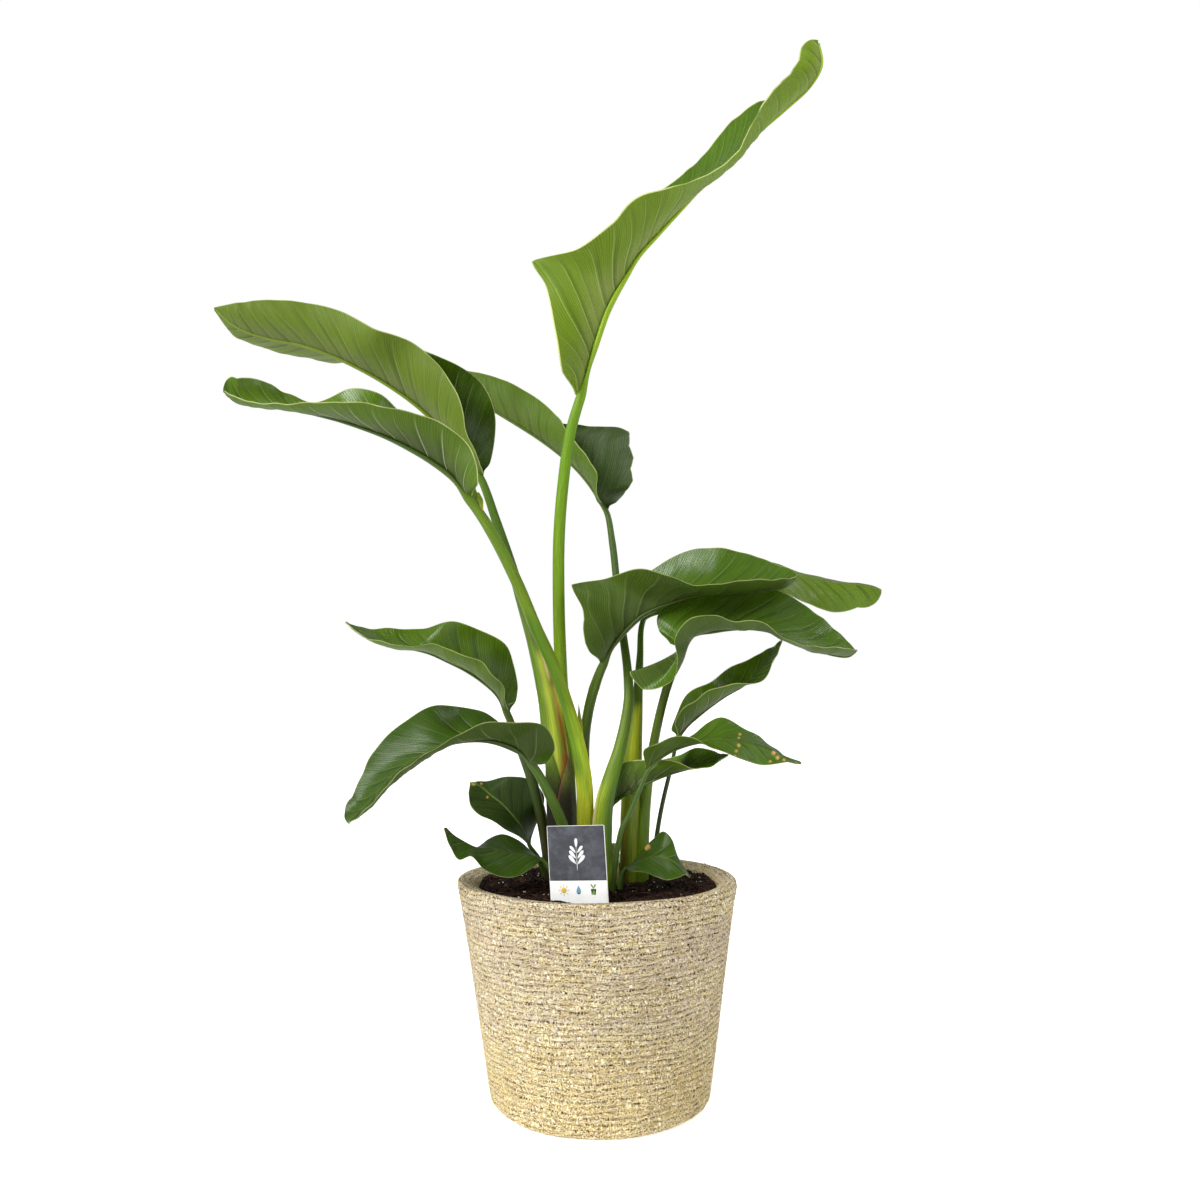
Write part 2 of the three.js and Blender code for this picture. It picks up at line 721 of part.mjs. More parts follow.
function sheathGeometry({ steps, facing, thick }, extra = 0) {
  const rings = steps.map((step) => sheathRing(step, facing, thick, extra));
  rings[0].forEach((point) => point.setZ(point.z - extra));
  return skinRings(rings);
}

// The basket: a turned shell with a round rim and a rounded foot
function arc(centreRadius, centreHeight, radius, from, to, steps) {
  return Array.from({ length: steps + 1 }, (_, i) => {
    const turn = THREE.MathUtils.degToRad(THREE.MathUtils.lerp(from, to, i / steps));
    return new THREE.Vector2(centreRadius + radius * Math.cos(turn), centreHeight + radius * Math.sin(turn));
  });
}

function turned(profile, sides) {
  return new THREE.LatheGeometry(profile, sides).rotateX(Math.PI / 2);
}

function basketGeometry() {
  const { height, rimRadius, footRadius, rimWall, wall, floor } = BASKET;
  const round = rimWall / 2;
  const foot = BASKET_FOOT_ROUND;
  const profile = [
    new THREE.Vector2(0, 0),
    ...arc(footRadius - foot, foot, foot, -90, 0, 3),
    ...arc(rimRadius - round, height - round, round, 0, 180, 5),
    new THREE.Vector2(footRadius - wall, floor),
    new THREE.Vector2(0, floor),
  ];
  return turned(profile, BASKET_SIDES);
}

// The nursery pot: a thin tapered cup with a lip, and drain holes through its base
const potBase = BASKET.floor + GAP;
const potTop = potBase + POT.height;
const potWallRadius = POT.rimRadius - POT.lip;

function potGeometry() {
  const { rimRadius, baseRadius, wall, lipDrop, taper } = POT;
  const profile = [
    new THREE.Vector2(0, potBase),
    new THREE.Vector2(baseRadius, potBase),
    new THREE.Vector2(potWallRadius - taper, potTop - lipDrop),
    new THREE.Vector2(rimRadius, potTop - lipDrop),
    new THREE.Vector2(rimRadius, potTop),
    new THREE.Vector2(potWallRadius - wall, potTop),
    new THREE.Vector2(baseRadius - wall, potBase + wall),
    new THREE.Vector2(0, potBase + wall),
  ];
  let made = solid(turned(profile, POT_SIDES));
  const ring = baseRadius * DRAINS.ringShare;
  for (let i = 0; i < DRAINS.count; i++) {
    const turn = (i / DRAINS.count) * 2 * Math.PI;
    const hole = new THREE.CylinderGeometry(DRAINS.radius, DRAINS.radius, 4 * wall, DRAINS.sides);
    hole.rotateX(Math.PI / 2).translate(Math.cos(turn) * ring, Math.sin(turn) * ring, potBase);
    made = made.subtract(solid(hole));
  }
  return geometryOf(made);
}

// The soil fills the pot and lies over its rim, with a lumpy top and a plain hole for each stem
function lump(x, y) {
  return SOIL.lump * (Math.sin(x * 0.11 + 1.3) * Math.cos(y * 0.13) + 0.5 * Math.sin(x * 0.23 - y * 0.19));
}

function soilGeometry() {
  const { top, edgeTop, overhang } = SOIL;
  const { baseRadius, wall, rimRadius } = POT;
  const inner = potWallRadius - wall - GAP;
  const profile = [
    new THREE.Vector2(0, potBase + wall + GAP),
    new THREE.Vector2(baseRadius - wall - 1, potBase + wall + GAP),
    new THREE.Vector2(inner, potTop + GAP),
    new THREE.Vector2(rimRadius + overhang, potTop + GAP),
    new THREE.Vector2(rimRadius + overhang, edgeTop),
    ...SOIL.rings.map((share) => new THREE.Vector2(rimRadius * share, top)),
    new THREE.Vector2(0, top),
  ];
  const geometry = turned(profile, POT_SIDES);
  const position = geometry.getAttribute("position");
  for (let i = 0; i < position.count; i++) {
    if (position.getZ(i) > top - 1) position.setZ(i, top + lump(position.getX(i), position.getY(i)));
  }
  let made = solid(geometry);
  for (const leaf of Object.values(LEAVES)) made = made.subtract(stalkHole(leaf));
  for (const sheath of Object.values(SHEATHS)) {
    made = made.subtract(solid(sheathGeometry(sheath, HOLE_ROOM)));
  }
  made = made.subtract(solid(labelGeometry(HOLE_ROOM)));
  return geometryOf(made);
}

// The label: a stiff card with rounded top corners and a pointed foot, pushed into the soil
function labelGeometry(extra = 0) {
  const { width, above, below, thick, foot, taper, corner } = LABEL;
  const half = width / 2 + extra;
  const top = above + extra;
  const shape = new THREE.Shape();
  shape.moveTo(-foot / 2 - extra, -below - extra);
  shape.lineTo(foot / 2 + extra, -below - extra);
  shape.lineTo(half, taper - below);
  shape.lineTo(half, top - corner);
  shape.quadraticCurveTo(half, top, half - corner, top);
  shape.lineTo(corner - half, top);
  shape.quadraticCurveTo(-half, top, -half, top - corner);
  shape.lineTo(-half, taper - below);
  shape.closePath();
  const depth = thick + 2 * extra;
  const card = new THREE.ExtrudeGeometry(shape, { depth, bevelEnabled: false, curveSegments: 2 });
  card.translate(0, 0, -depth / 2).rotateX(Math.PI / 2);
  card.rotateX(THREE.MathUtils.degToRad(-LABEL_STANDS.tipsBack));
  card.rotateY(THREE.MathUtils.degToRad(-LABEL_STANDS.leans));
  return card.translate(...LABEL_STANDS.at);
}

const plant = new THREE.Group();
plant.add(
  named("basket", basketGeometry(), finish(0xd2bd8a, 0.9)),
  named("grow_pot", potGeometry(), finish(0x1d1c1b, 0.5)),
  named("soil", soilGeometry(), finish(0x2a1c14, 1)),
  named("plant_label", labelGeometry(), finish(0x3d3f46, 0.4)),
);
for (const [name, leaf] of Object.entries(LEAVES)) {
  plant.add(named(name, leafGeometry(leaf), finish(leaf.colour, 0.4)));
}
for (const [name, sheath] of Object.entries(SHEATHS)) {
  plant.add(named(name, sheathGeometry(sheath), finish(sheath.colour, 0.6)));
}
export default plant;
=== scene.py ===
"""The potted bird of paradise in its seagrass basket, dressed for the eye.

Everything is in metres and in the frame of the CAD: the origin is the middle of the basket's flat
underside, +Z is up, and the plant is seen from the front when looking along +Y. Sizes are written in
millimetres and turned to metres where a mesh is made.
"""

import logging
import math
from dataclasses import dataclass, field
from enum import Enum
from itertools import combinations

import bpy
import numpy as np
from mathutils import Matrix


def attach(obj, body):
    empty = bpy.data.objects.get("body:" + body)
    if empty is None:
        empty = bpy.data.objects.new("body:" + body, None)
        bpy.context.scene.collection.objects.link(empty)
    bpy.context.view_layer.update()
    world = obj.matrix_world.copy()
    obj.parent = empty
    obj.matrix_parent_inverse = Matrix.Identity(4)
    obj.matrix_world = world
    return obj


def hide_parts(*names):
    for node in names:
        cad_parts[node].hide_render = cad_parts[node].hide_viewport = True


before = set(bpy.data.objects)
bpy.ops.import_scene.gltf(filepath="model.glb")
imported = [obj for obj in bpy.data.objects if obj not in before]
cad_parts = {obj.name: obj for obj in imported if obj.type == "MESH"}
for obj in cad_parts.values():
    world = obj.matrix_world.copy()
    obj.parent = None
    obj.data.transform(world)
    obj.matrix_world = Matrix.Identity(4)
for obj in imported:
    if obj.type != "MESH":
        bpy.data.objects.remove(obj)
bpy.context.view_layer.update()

log = logging.getLogger("plant")
Array = np.ndarray
Row = tuple[float, ...]
Socket = bpy.types.NodeSocket
Number = Socket | float
Colour = Socket | tuple[float, ...]
MM = 0.001
BODY = "root"
UPWARD = np.array([0, 0, 1.0])
# The height over which the lean of the basket and the soil is given.
BASKET_TOP = 169.0

# The keel under a blade, as the solids have it: its depth by its half width, the least half width, what
# is left of it at the tip, how it fades, and half of a solid blade's thickness. Then where a blade is
# fullest and how round it is, as the two powers in the course of its half width.
KEEL_DEPTH = 1.1
KEEL_LEAST = 0.9
KEEL_AT_TIP = 0.14
KEEL_FADE = 0.7
SOLID_HALF = 0.55
BLADE_FULLEST = 0.8
BLADE_ROUND = 0.55


# Sums


def unit(vectors: Array) -> Array:
    """Vectors divided by their own lengths."""
    return vectors / np.maximum(np.linalg.norm(vectors, axis=-1, keepdims=True), 1e-12)


def ease(low: float, high: float, value: Array) -> Array:
    """0 below low, 1 above high and 3x^2 - 2x^3 between them; low may be the larger."""
    share = np.clip((value - low) / (high - low), 0, 1)
    return share * share * (3 - 2 * share)


def wander(place: Array, lengths: tuple[float, ...], seed: int) -> Array:
    """A gentle irregular line: the mean of one sine for each wave length, with seeded phases.

    Args:
        place: Where along the line, in the unit of lengths.
        lengths: The wave lengths.
        seed: Picks the phases.

    Returns:
        Values from -1 to 1.
    """
    phases = np.random.default_rng(seed).uniform(0, 2 * math.pi, len(lengths))
    return sum(np.sin(2 * math.pi * place / w + p) for w, p in zip(lengths, phases)) / len(lengths)


def smooth_line(points: Array, at: Array) -> Array:
    """Points on the centripetal Catmull-Rom curve through some points.

    Each stretch is a Hermite cubic, whose end slopes weigh the neighbouring chords by the square
    roots of their lengths. The curve's ends mirror their neighbours.

    Args:
        points: The points, n by 3.
        at: Places on the curve, from 0 at the first point to n - 1 at the last.

    Returns:
        One point for each place.
    """
    padded = np.vstack([2 * points[0] - points[1], points, 2 * points[-1] - points[-2]])
    step = np.clip(np.floor(at).astype(int), 0, len(points) - 2)
    share = (at - step)[:, None]
    a, b, c, d = (padded[step + i] for i in range(4))
    ab, bc, cd = (np.sqrt(np.linalg.norm(q - p, axis=1))[:, None] for p, q in ((a, b), (b, c), (c, d)))
    leaving = ((b - a) / ab - (c - a) / (ab + bc) + (c - b) / bc) * bc
    arriving = ((c - b) / bc - (d - b) / (bc + cd) + (d - c) / cd) * bc
    two, three = share**2, share**3
    return (
        b * (2 * three - 3 * two + 1)
        + leaving * (three - 2 * two + share)
        + c * (3 * two - 2 * three)
        + arriving * (three - two)
    )


def heading(points: Array, at: Array) -> Array:
    """The unit direction of a smooth line at some places, from two points close on either side.

    Args:
        points: The points that the line goes through.
        at: Places on it, as smooth_line has them.

    Returns:
        One direction for each place.
    """
    last = len(points) - 1
    ahead, behind = (smooth_line(points, np.clip(at + step, 0, last)) for step in (0.004, -0.004))
    return unit(ahead - behind)


def run(points: Array) -> Array:
    """How far along a line each of its points lies, from 0."""
    return np.concatenate([[0], np.cumsum(np.linalg.norm(np.diff(points, axis=0), axis=1))])


def round_axis(radius: Array, angle: Array, height: Array, lean: float) -> Array:
    """Points about the basket's axis, which has gone across by lean at the basket's top.

    Args:
        radius: Millimetres from the axis.
        angle: The way from the axis, in radians.
        height: Millimetres over the floor.
        lean: How far the axis leans, in millimetres.

    Returns:
        Points, with a last axis of 3.
    """
    radius, angle, height = np.broadcast_arrays(radius, angle, height)
    across = radius * np.cos(angle) + lean * height / BASKET_TOP
    return np.stack([across, radius * np.sin(angle), height], -1)


@dataclass(frozen=True)
class Glass:
    """The sheet of glass that the leaves are drawn on, as the eye sees them from the front.

    It is held square to the line of sight, through the basket's axis. The eye stands a distance
    before the axis and a height over the basket's foot, and looks up by an angle.
    """

    distance: float = 870
    height: float = 323
    look_up: float = 4.13

    def place(self, across: Array, up: Array, deep: Array) -> Array:
        """The points in space behind points of the glass.

        Args:
            across: Millimetres to the right on the glass.
            up: Millimetres up on the glass.
            deep: The real distance behind the axis, in millimetres.

        Returns:
            Points in millimetres, with a last axis of 3.
        """
        turn = math.radians(self.look_up)
        ahead = self.distance / math.cos(turn)
        across, up, deep = np.broadcast_arrays(*(np.asarray(v, float) for v in (across, up, deep)))
        along = ahead * math.cos(turn) - up * math.sin(turn)
        ray = np.stack([across, along, up * math.cos(turn) + ahead * math.sin(turn)], axis=-1)
        eye = np.array([0, -self.distance, self.height])
        return eye + ray * ((deep + self.distance) / ray[..., 1])[..., None]

    def seen_at(self, points: Array) -> Array:
        """Where on the glass some points are seen, across and up, in millimetres.

        Args:
            points: Points in space, in millimetres.

        Returns:
            Two numbers for each point.
        """
        turn = math.radians(self.look_up)
        ahead = self.distance / math.cos(turn)
        ray = points - np.array([0, -self.distance, self.height])
        depth = ray[..., 1] * math.cos(turn) + ray[..., 2] * math.sin(turn)
        rise = ray[..., 2] * math.cos(turn) - ray[..., 1] * math.sin(turn)
        return np.stack([ray[..., 0], rise], axis=-1) * (ahead / depth)[..., None]


GLASS = Glass()


# Meshes


@dataclass
class Surface:
    """One closed surface: points in millimetres, faces, a finish number and values at the points."""

    points: Array
    faces: Array
    finish: int = 0
    values: dict[str, Array] = field(default_factory=dict)

    def facing_out(self) -> "Surface":
        """Turns the faces round if the volume that they enclose comes out negative.

        Returns:
            The surface itself.
        """
        corners = self.points[self.faces]
        volume = np.einsum("ij,ij->i", corners[:, 0], np.cross(corners[:, 1], corners[:, 2])).sum()
        if self.faces.shape[1] == 4:
            volume += np.einsum("ij,ij->i", corners[:, 0], np.cross(corners[:, 2], corners[:, 3])).sum()
        if volume < 0:
            self.faces = self.faces[:, ::-1]
        return self


def ring_faces(rings: int, around: int) -> Array:
    """Quads that join closed rings one after another.

    Args:
        rings: How many rings there are.
        around: How many points a ring has.

    Returns:
        Four point numbers for each quad.
    """
    ring, i = np.meshgrid(np.arange(rings - 1), np.arange(around), indexing="ij")
    here, following = ring * around + i, ring * around + (i + 1) % around
    return np.stack([here, following, following + around, here + around], -1).reshape(-1, 4)


def end_faces(first: int, around: int) -> Array:
    """Quads that close a ring which goes along one side and back along the other."""
    i = np.arange(around // 2 - 1)
    return first + np.stack([i, i + 1, around - 2 - i, around - 1 - i], -1)


def skin(rings: Array, finish: int = 0, **values: Array) -> Surface:
    """A closed surface through rings of points, which go there and back, closed at both ends.

    Args:
        rings: Points, rings by points by 3.
        finish: The number of its finish.
        values: Attributes, one value or vector for each point, shaped as the rings.

    Returns:
        The surface, facing out.
    """
    count, around = rings.shape[:2]
    last = (count - 1) * around
    ends = [end_faces(0, around)[:, ::-1], end_faces(last, around)]
    faces = np.vstack([ring_faces(count, around), *ends])
    flat = {name: v.reshape(count * around, *v.shape[2:]) for name, v in values.items()}
    return Surface(rings.reshape(-1, 3), faces, finish, flat).facing_out()


def margin_to_margin(over: Array, beneath: Array) -> Array:
    """The two halves of a blade as rings: far margin to near margin on top, and back beneath."""
    there, back = [over[0][:, ::-1], over[1][:, 1:]], [beneath[1][:, ::-1], beneath[0][:, 1:]]
    return np.concatenate(there + back, 1)


def make_piece(
    name: str,
    surfaces: list[Surface],
    finishes: list[bpy.types.Material],
    stands_for: tuple[str, ...] = (),
    uv: Array | None = None,
    smooth: bool = True,
) -> bpy.types.Object:
    """One object from surfaces: it rides on the body and takes its finishes.

    Args:
        name: The piece's name.
        surfaces: What it is made of. They may share attribute names; a missing value is 0.
        finishes: Its materials; a surface's finish number picks one.
        stands_for: The CAD nodes that it replaces.
        uv: One pair for each face corner, if the piece has a UV map.
        smooth: Whether it is shaded smooth.

    Returns:
        The object.
    """
    starts = np.cumsum([0] + [len(s.points) for s in surfaces])
    points = np.vstack([s.points for s in surfaces]) * MM
    corners = np.concatenate([(s.faces + n).ravel() for s, n in zip(surfaces, starts)])
    sizes = np.concatenate([np.full(len(s.faces), s.faces.shape[1]) for s in surfaces])
    mesh = bpy.data.meshes.new(name)
    mesh.vertices.add(len(points))
    mesh.vertices.foreach_set("co", points.ravel())
    mesh.loops.add(len(corners))
    mesh.loops.foreach_set("vertex_index", corners)
    mesh.polygons.add(len(sizes))
    mesh.polygons.foreach_set("loop_start", np.concatenate([[0], np.cumsum(sizes)[:-1]]))
    mesh.polygons.foreach_set("loop_total", sizes)
    mesh.polygons.foreach_set("use_smooth", np.full(len(sizes), smooth))
    numbers = np.concatenate([np.full(len(s.faces), s.finish) for s in surfaces])
    mesh.polygons.foreach_set("material_index", numbers)
    for key in sorted({k for s in surfaces for k in s.values}):
        wide = max(s.values[key][0].size for s in surfaces if key in s.values)
        filled = [s.values.get(key, np.zeros((len(s.points), wide))) for s in surfaces]
        table = np.vstack([values.reshape(-1, wide) for values in filled])
        kind, part = ("FLOAT", "value") if wide == 1 else ("FLOAT_VECTOR", "vector")
        mesh.attributes.new(key, kind, "POINT").data.foreach_set(part, table.ravel().astype(np.float32))
    if uv is not None:
        mesh.uv_layers.new(name="cord").data.foreach_set("uv", uv.ravel().astype(np.float32))
    mesh.update(calc_edges=True)
    mesh.validate()
    for finish in finishes:
        mesh.materials.append(finish)
    piece = bpy.data.objects.new(name, mesh)
    bpy.context.collection.objects.link(piece)
    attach(piece, BODY)
    if stands_for:
        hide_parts(*stands_for)
    log.info("%s: %d faces", name, len(sizes))
    return piece


# Finishes


def linear(colour: str) -> tuple[float, float, float, float]:
    """An sRGB hex colour as linear red, green, blue and 1."""
    parts = [int(colour[i : i + 2], 16) / 255 for i in (1, 3, 5)]
    return (*[p / 12.92 if p <= 0.04045 else ((p + 0.055) / 1.055) ** 2.4 for p in parts], 1.0)


def rgb(colour: str) -> Array:
    """An sRGB hex colour as three linear numbers."""
    return np.array(linear(colour)[:3])


# The usual nodes by a short name: the type, the sockets that its values go into in turn, the output to
# give back and the settings.
KINDS = {
    name.lower(): ("Math", (0, 1), 0, {"operation": name})
    for name in ("FRACT", "FLOOR", "ABSOLUTE", "SINE", "MAXIMUM", "DIVIDE")
} | {
    "times": ("Math", (0, 1), 0, {"operation": "MULTIPLY"}),
    "plus": ("Math", (0, 1), 0, {"operation": "ADD"}),
    "minus": ("Math", (0, 1), 0, {"operation": "SUBTRACT"}),
    "band": ("MapRange", (0, 1, 2), 0, {"interpolation_type": "SMOOTHSTEP"}),
    "blend": ("Mix", (0, 6, 7), 2, {"data_type": "RGBA"}),
    "noise": ("TexNoise", ("Vector", "Scale", "Detail", "Roughness"), 0, {}),
    "place": ("TexCoord", (), "Object", {}),
    "attribute": ("Attribute", (), "Vector", {}),
    "part": ("SeparateXYZ", (0,), 0, {}),
    "pair": ("CombineXYZ", (0, 1), 0, {}),
    "stretch": ("Mapping", (0, 3), 0, {}),
}


class Graph:
    """A material's nodes, with one way to add a node."""

    def __init__(self, name: str) -> None:
        """Starts an empty material of that name.

        Args:
            name: The material's name.
        """
        self.material = bpy.data.materials.new(name)
        self.material.use_nodes = True
        self.nodes = self.material.node_tree.nodes
        self.nodes.clear()

    def add(
        self, kind: str, *values: object, out: int | str | None = None, **settings: object
    ) -> Socket | None:
        """Adds a node.

        Args:
            kind: One of KINDS, or the node's type, after "ShaderNode".
            values: What goes into the sockets, another node's output or a value: in turn for one of
                KINDS, or else as one dictionary by the sockets' names or numbers.
            out: The output to give back, if not the usual one.
            settings: The node's own settings.

        Returns:
            That output, or None from a node that has none.
        """
        name, sockets, usual, own = KINDS.get(kind, (kind, (), 0, {}))
        node = self.nodes.new("ShaderNode" + name)
        for key, value in (own | settings).items():
            setattr(node, key, value)
        inputs = dict(zip(sockets, values)) if sockets else dict(*values)
        for key, value in inputs.items():
            if isinstance(value, Socket):
                self.material.node_tree.links.new(value, node.inputs[key])
            else:
                node.inputs[key].default_value = value
        return node.outputs[usual if out is None else out] if len(node.outputs) else None

    def stain(self, under: Colour, colour: str, share: Number, most: float = 1.0) -> Socket:
        """A hex colour laid over another colour where share is 1, as strongly as most."""
        share = share if most == 1 else self.add("times", share, most)
        return self.add("blend", share, under, linear(colour))

    def finish(
        self,
        colour: Colour,
        roughness: Number,
        ior: float,
        specular: float = 0.5,
        relief: Socket | None = None,
        depth: float = 0.0,
        glow: float = 0.0,
    ) -> bpy.types.Material:
        """Ends the tree in a Principled shader.

        Args:
            colour: Its base colour.
            roughness: Its roughness.
            ior: Its index of refraction.
            specular: How strong its sheen is, where 0.5 is what the index gives.
            relief: A height, where the surface has one.
            depth: The height in metres of a relief of 1.
            glow: How strongly it shines by itself, in white.

        Returns:
            The material.
        """
        shader = {"Base Color": colour, "Roughness": roughness, "IOR": ior, "Specular IOR Level": specular}
        if glow:
            shader |= {"Emission Color": (1, 1, 1, 1), "Emission Strength": glow}
        if relief is not None:
            shader["Normal"] = self.add("Bump", {"Height": relief, "Distance": depth, "Strength": 1.0})
        self.add("OutputMaterial", {"Surface": self.add("BsdfPrincipled", shader)})
        return self.material


@dataclass(frozen=True)
class BladeFinish:
    """A living leaf blade: a waxy skin over green tissue, with veins pressed into it.

    The wax gives the upper side a soft white gloss, and lies as a grey bloom beside the midrib on the
    duller underside; towards the margin the underside turns a clearer yellow-green, painted for light
    shining through the blade. Main veins show as a thin light ridge with painted shade in the valley
    beside it. Fine veins run between them 0.7 mm apart, and are drawn twice as coarse, so that they
    show. The margin is a pale thread that comes and goes.

    upper and under are each side's two greens. rim is how strongly the margin shows and edge how wide
    it is in millimetres, and veined is how strongly the main veins show. bloom_to is the share of the
    half blade that the bloom covers, and fine_veins the number of fine veins between two main ones.
    """

    name: str
    upper: tuple[str, str]
    under: tuple[str, str]
    vein: str = "#7f9a50"
    rib: str = "#7c9a48"
    keel: str = "#4f6f22"
    margin: str = "#b9c27c"
    rim: float = 0.5
    edge: float = 0.8
    gloss: float = 0.26
    matt: float = 0.6
    bloom_to: float = 0.55
    fine_veins: float = 9.0
    veined: float = 0.26

    def material(self) -> bpy.types.Material:
        """The blade's material.

        It reads two attributes: vein is the place between main veins, and the millimetres from the
        midrib and from the margin; skin is the share of the half blade's width, 1 on the upper side,
        and how strongly a dry mark shows.

        Returns:
            The material.
        """
        g = Graph(self.name)
        vein, skin_at = g.add("attribute", attribute_name="vein"), g.add("attribute", attribute_name="skin")
        place, from_rib, from_margin = (g.add("part", vein, out=i) for i in range(3))
        share, upper, mark = (g.add("part", skin_at, out=i) for i in range(3))
        phase = g.add("fract", place)
        nearest = g.add("floor", g.add("plus", place, 0.5))
        chance = g.add("TexWhiteNoise", {"W": nearest}, noise_dimensions="1D")
        inward = g.add("band", from_margin, 0.5, 9)
        strong = g.add("times", g.add("plus", g.add("times", chance, 0.7), 0.3), inward)
        crest = g.add("absolute", g.add("minus", g.add("times", phase, 2.0), 1.0))
        ridge = g.add("times", g.add("band", crest, 0.9, 1.0), strong)
        # Painted shade in the valley just past each main vein's ridge.
        dip = g.add("times", g.add("band", phase, 0.03, 0.1), g.add("band", phase, 0.5, 0.1))
        valley = g.add("times", dip, strong)
        fine_at = g.add("pair", g.add("times", place, self.fine_veins), g.add("times", from_rib, 0.03))
        streak = g.add("noise", fine_at, 1.0, 3.0, 0.6)
        broad_at = g.add("pair", place, g.add("times", from_rib, 0.05))
        broad = g.add("noise", broad_at, 1.3)
        fine = g.add("sine", g.add("times", place, 2 * math.pi * self.fine_veins))
        groove = g.add("times", g.add("band", fine, 0.2, 1.0), g.add("band", streak, 0.3, 0.6))

        tone = g.add("times", g.add("band", streak, 0.3, 0.7), 0.5)
        tone = g.add("plus", tone, g.add("times", broad, 0.55))
        above = g.add("blend", tone, linear(self.upper[0]), linear(self.upper[1]))
        # Underside: the bloom's grey by the midrib, and towards the margin a clearer green, painted for light
        # shining through the blade.
        bloom = g.add("times", g.add("band", share, self.bloom_to, 0.04), g.add("plus", 0.25, broad))
        bloom = g.add("plus", bloom, g.add("times", g.add("band", streak, 0.35, 0.75), 0.15))
        below = g.add("blend", bloom, linear(self.under[0]), linear(self.under[1]))
        inner = g.add("band", share, 0.95, 0.3)
        # The near-black stain: painted shade in the main veins' valleys, stronger by the midrib, and the fine
        # vein lines.
        dark = g.add("times", valley, g.add("plus", 0.12, g.add("times", inner, 0.3)))
        dark = g.add("plus", dark, g.add("times", groove, 0.36))
        colour = g.stain(g.add("blend", upper, below, above), "#141c06", dark)
        lit = g.add("times", ridge, g.add("plus", 0.35, g.add("times", inner, 0.65)))
        colour = g.stain(colour, self.vein, lit, self.veined)
        colour = g.stain(colour, self.rib, g.add("band", from_rib, 1.0, 0.35), 0.75)
        comes = g.add("band", g.add("noise", broad_at, 0.45), 0.25, 0.55)
        thread = g.add("times", g.add("band", from_margin, self.edge, self.edge * 0.4), comes)
        colour = g.stain(colour, self.margin, thread, self.rim)
        dry = g.add("times", mark, g.add("plus", 0.5, streak))
        colour = g.stain(colour, "#8f7a35", g.add("band", dry, 0.25, 0.6))
        colour = g.stain(colour, "#c9a45e", g.add("band", dry, 0.6, 0.95))

        rough = g.add("Mix", {0: upper, 2: self.matt, 3: self.gloss})
        rough = g.add("plus", rough, g.add("times", g.add("minus", streak, 0.5), 0.12))
        height = g.add("minus", g.add("times", ridge, 0.9), g.add("times", groove, 0.5))
        height = g.add("plus", height, g.add("times", streak, 0.6))
        return g.finish(colour, rough, ior=1.45, specular=0.28, relief=height, depth=0.00026)


class Tone(Enum):
    """How old a leaf is, which sets its greens; the back tone's darker greens are painted shade."""

    YOUNG = BladeFinish(
        "young_leaf_blade", ("#385408", "#567814"), ("#5e780a", "#74823e"), vein="#a4b968",
        rib="#8fb02a", keel="#7fa51a", margin="#ccd488", rim=0.85, edge=1.25, veined=0.55,
    )
    LIGHT = BladeFinish(
        "light_leaf_blade", ("#283c05", "#3e580a"), ("#586e0c", "#5f6a38"), vein="#93a466",
        keel="#63801c", rim=0.6, veined=0.4,
    )
    # Its bloom green is darkened, as painted shade beside the midrib.
    FULL = BladeFinish(
        "full_leaf_blade", ("#44620a", "#5e8014"), ("#4a6408", "#424a2a"), vein="#a9b690",
        keel="#3c581a", rim=0.75, veined=0.7, bloom_to=0.85,
    )
    # Leaves at the back of the plant: darker greens, painted shade.
    BACK = BladeFinish(
        "shaded_leaf_blade", ("#243604", "#344c0c"), ("#4c660a", "#526222"), vein="#74843f", gloss=0.5,
    )
    DEEP = BladeFinish(
        "deep_leaf_blade", ("#365008", "#507018"), ("#3e540a", "#4a5a26"), vein="#7e8f58",
        rib="#647a3a", keel="#3c521a", edge=0.65, veined=0.42,
    )
    MIDDLING = BladeFinish(
        "middling_leaf_blade", ("#3c5608", "#567416"), ("#506a0a", "#506616"), vein="#7e8f58",
        rib="#647a3a", keel="#46601a", edge=0.65, gloss=0.22,
    )
    DARK = BladeFinish(
        "dark_leaf_blade", ("#2b4306", "#3f5c10"), ("#34470a", "#3c4a18"), vein="#8a9a66",
        rib="#6a803c", keel="#34481a", rim=0.45, edge=0.65, gloss=0.3, veined=0.5,
    )
    PALE = BladeFinish(
        "glossy_pale_leaf_blade", ("#48600c", "#5f7a1c"), ("#5a740c", "#6e8044"), keel="#54701c",
        gloss=0.28,
    )


@dataclass(frozen=True)
class StalkFinish:
    """A leaf stalk and its sheathing foot: smooth, fleshy and fibrous, with a thin waxy skin.

    Its colour comes from the stalk's own attribute. Fibres run along it as faint streaks 1 mm apart,
    and small dark specks lie in its skin.
    """

    name: str = "fleshy_leaf_stalk"
    roughness: float = 0.42

    def material(self) -> bpy.types.Material:
        """The stalk's material. fibre is the millimetres round the stalk and along it.

        Returns:
            The material.
        """
        g = Graph(self.name)
        base, fibre = g.add("attribute", attribute_name="flesh"), g.add("attribute", attribute_name="fibre")
        streak = g.add("noise", g.add("stretch", fibre, (1.1, 0.035, 1.0)), 1.0, 3.0, 0.6)
        speck_at = g.add("stretch", fibre, (0.55, 0.3, 1.0))
        speck = g.add("TexVoronoi", {"Vector": speck_at, "Scale": 1.0}, out="Distance")
        shade = g.add("blend", g.add("band", streak, 0.35, 0.7), (0.8, 0.7, 0.5, 1), (1.28, 1.1, 0.85, 1))
        colour = g.add("blend", 1.0, base, shade, blend_type="MULTIPLY")
        colour = g.stain(colour, "#4a4a1c", g.add("band", speck, 0.09, 0.03), 0.5)
        rough = g.add("plus", self.roughness, g.add("times", g.add("minus", streak, 0.5), 0.2))
        return g.finish(colour, rough, ior=1.45, specular=0.3, relief=streak, depth=0.00025)


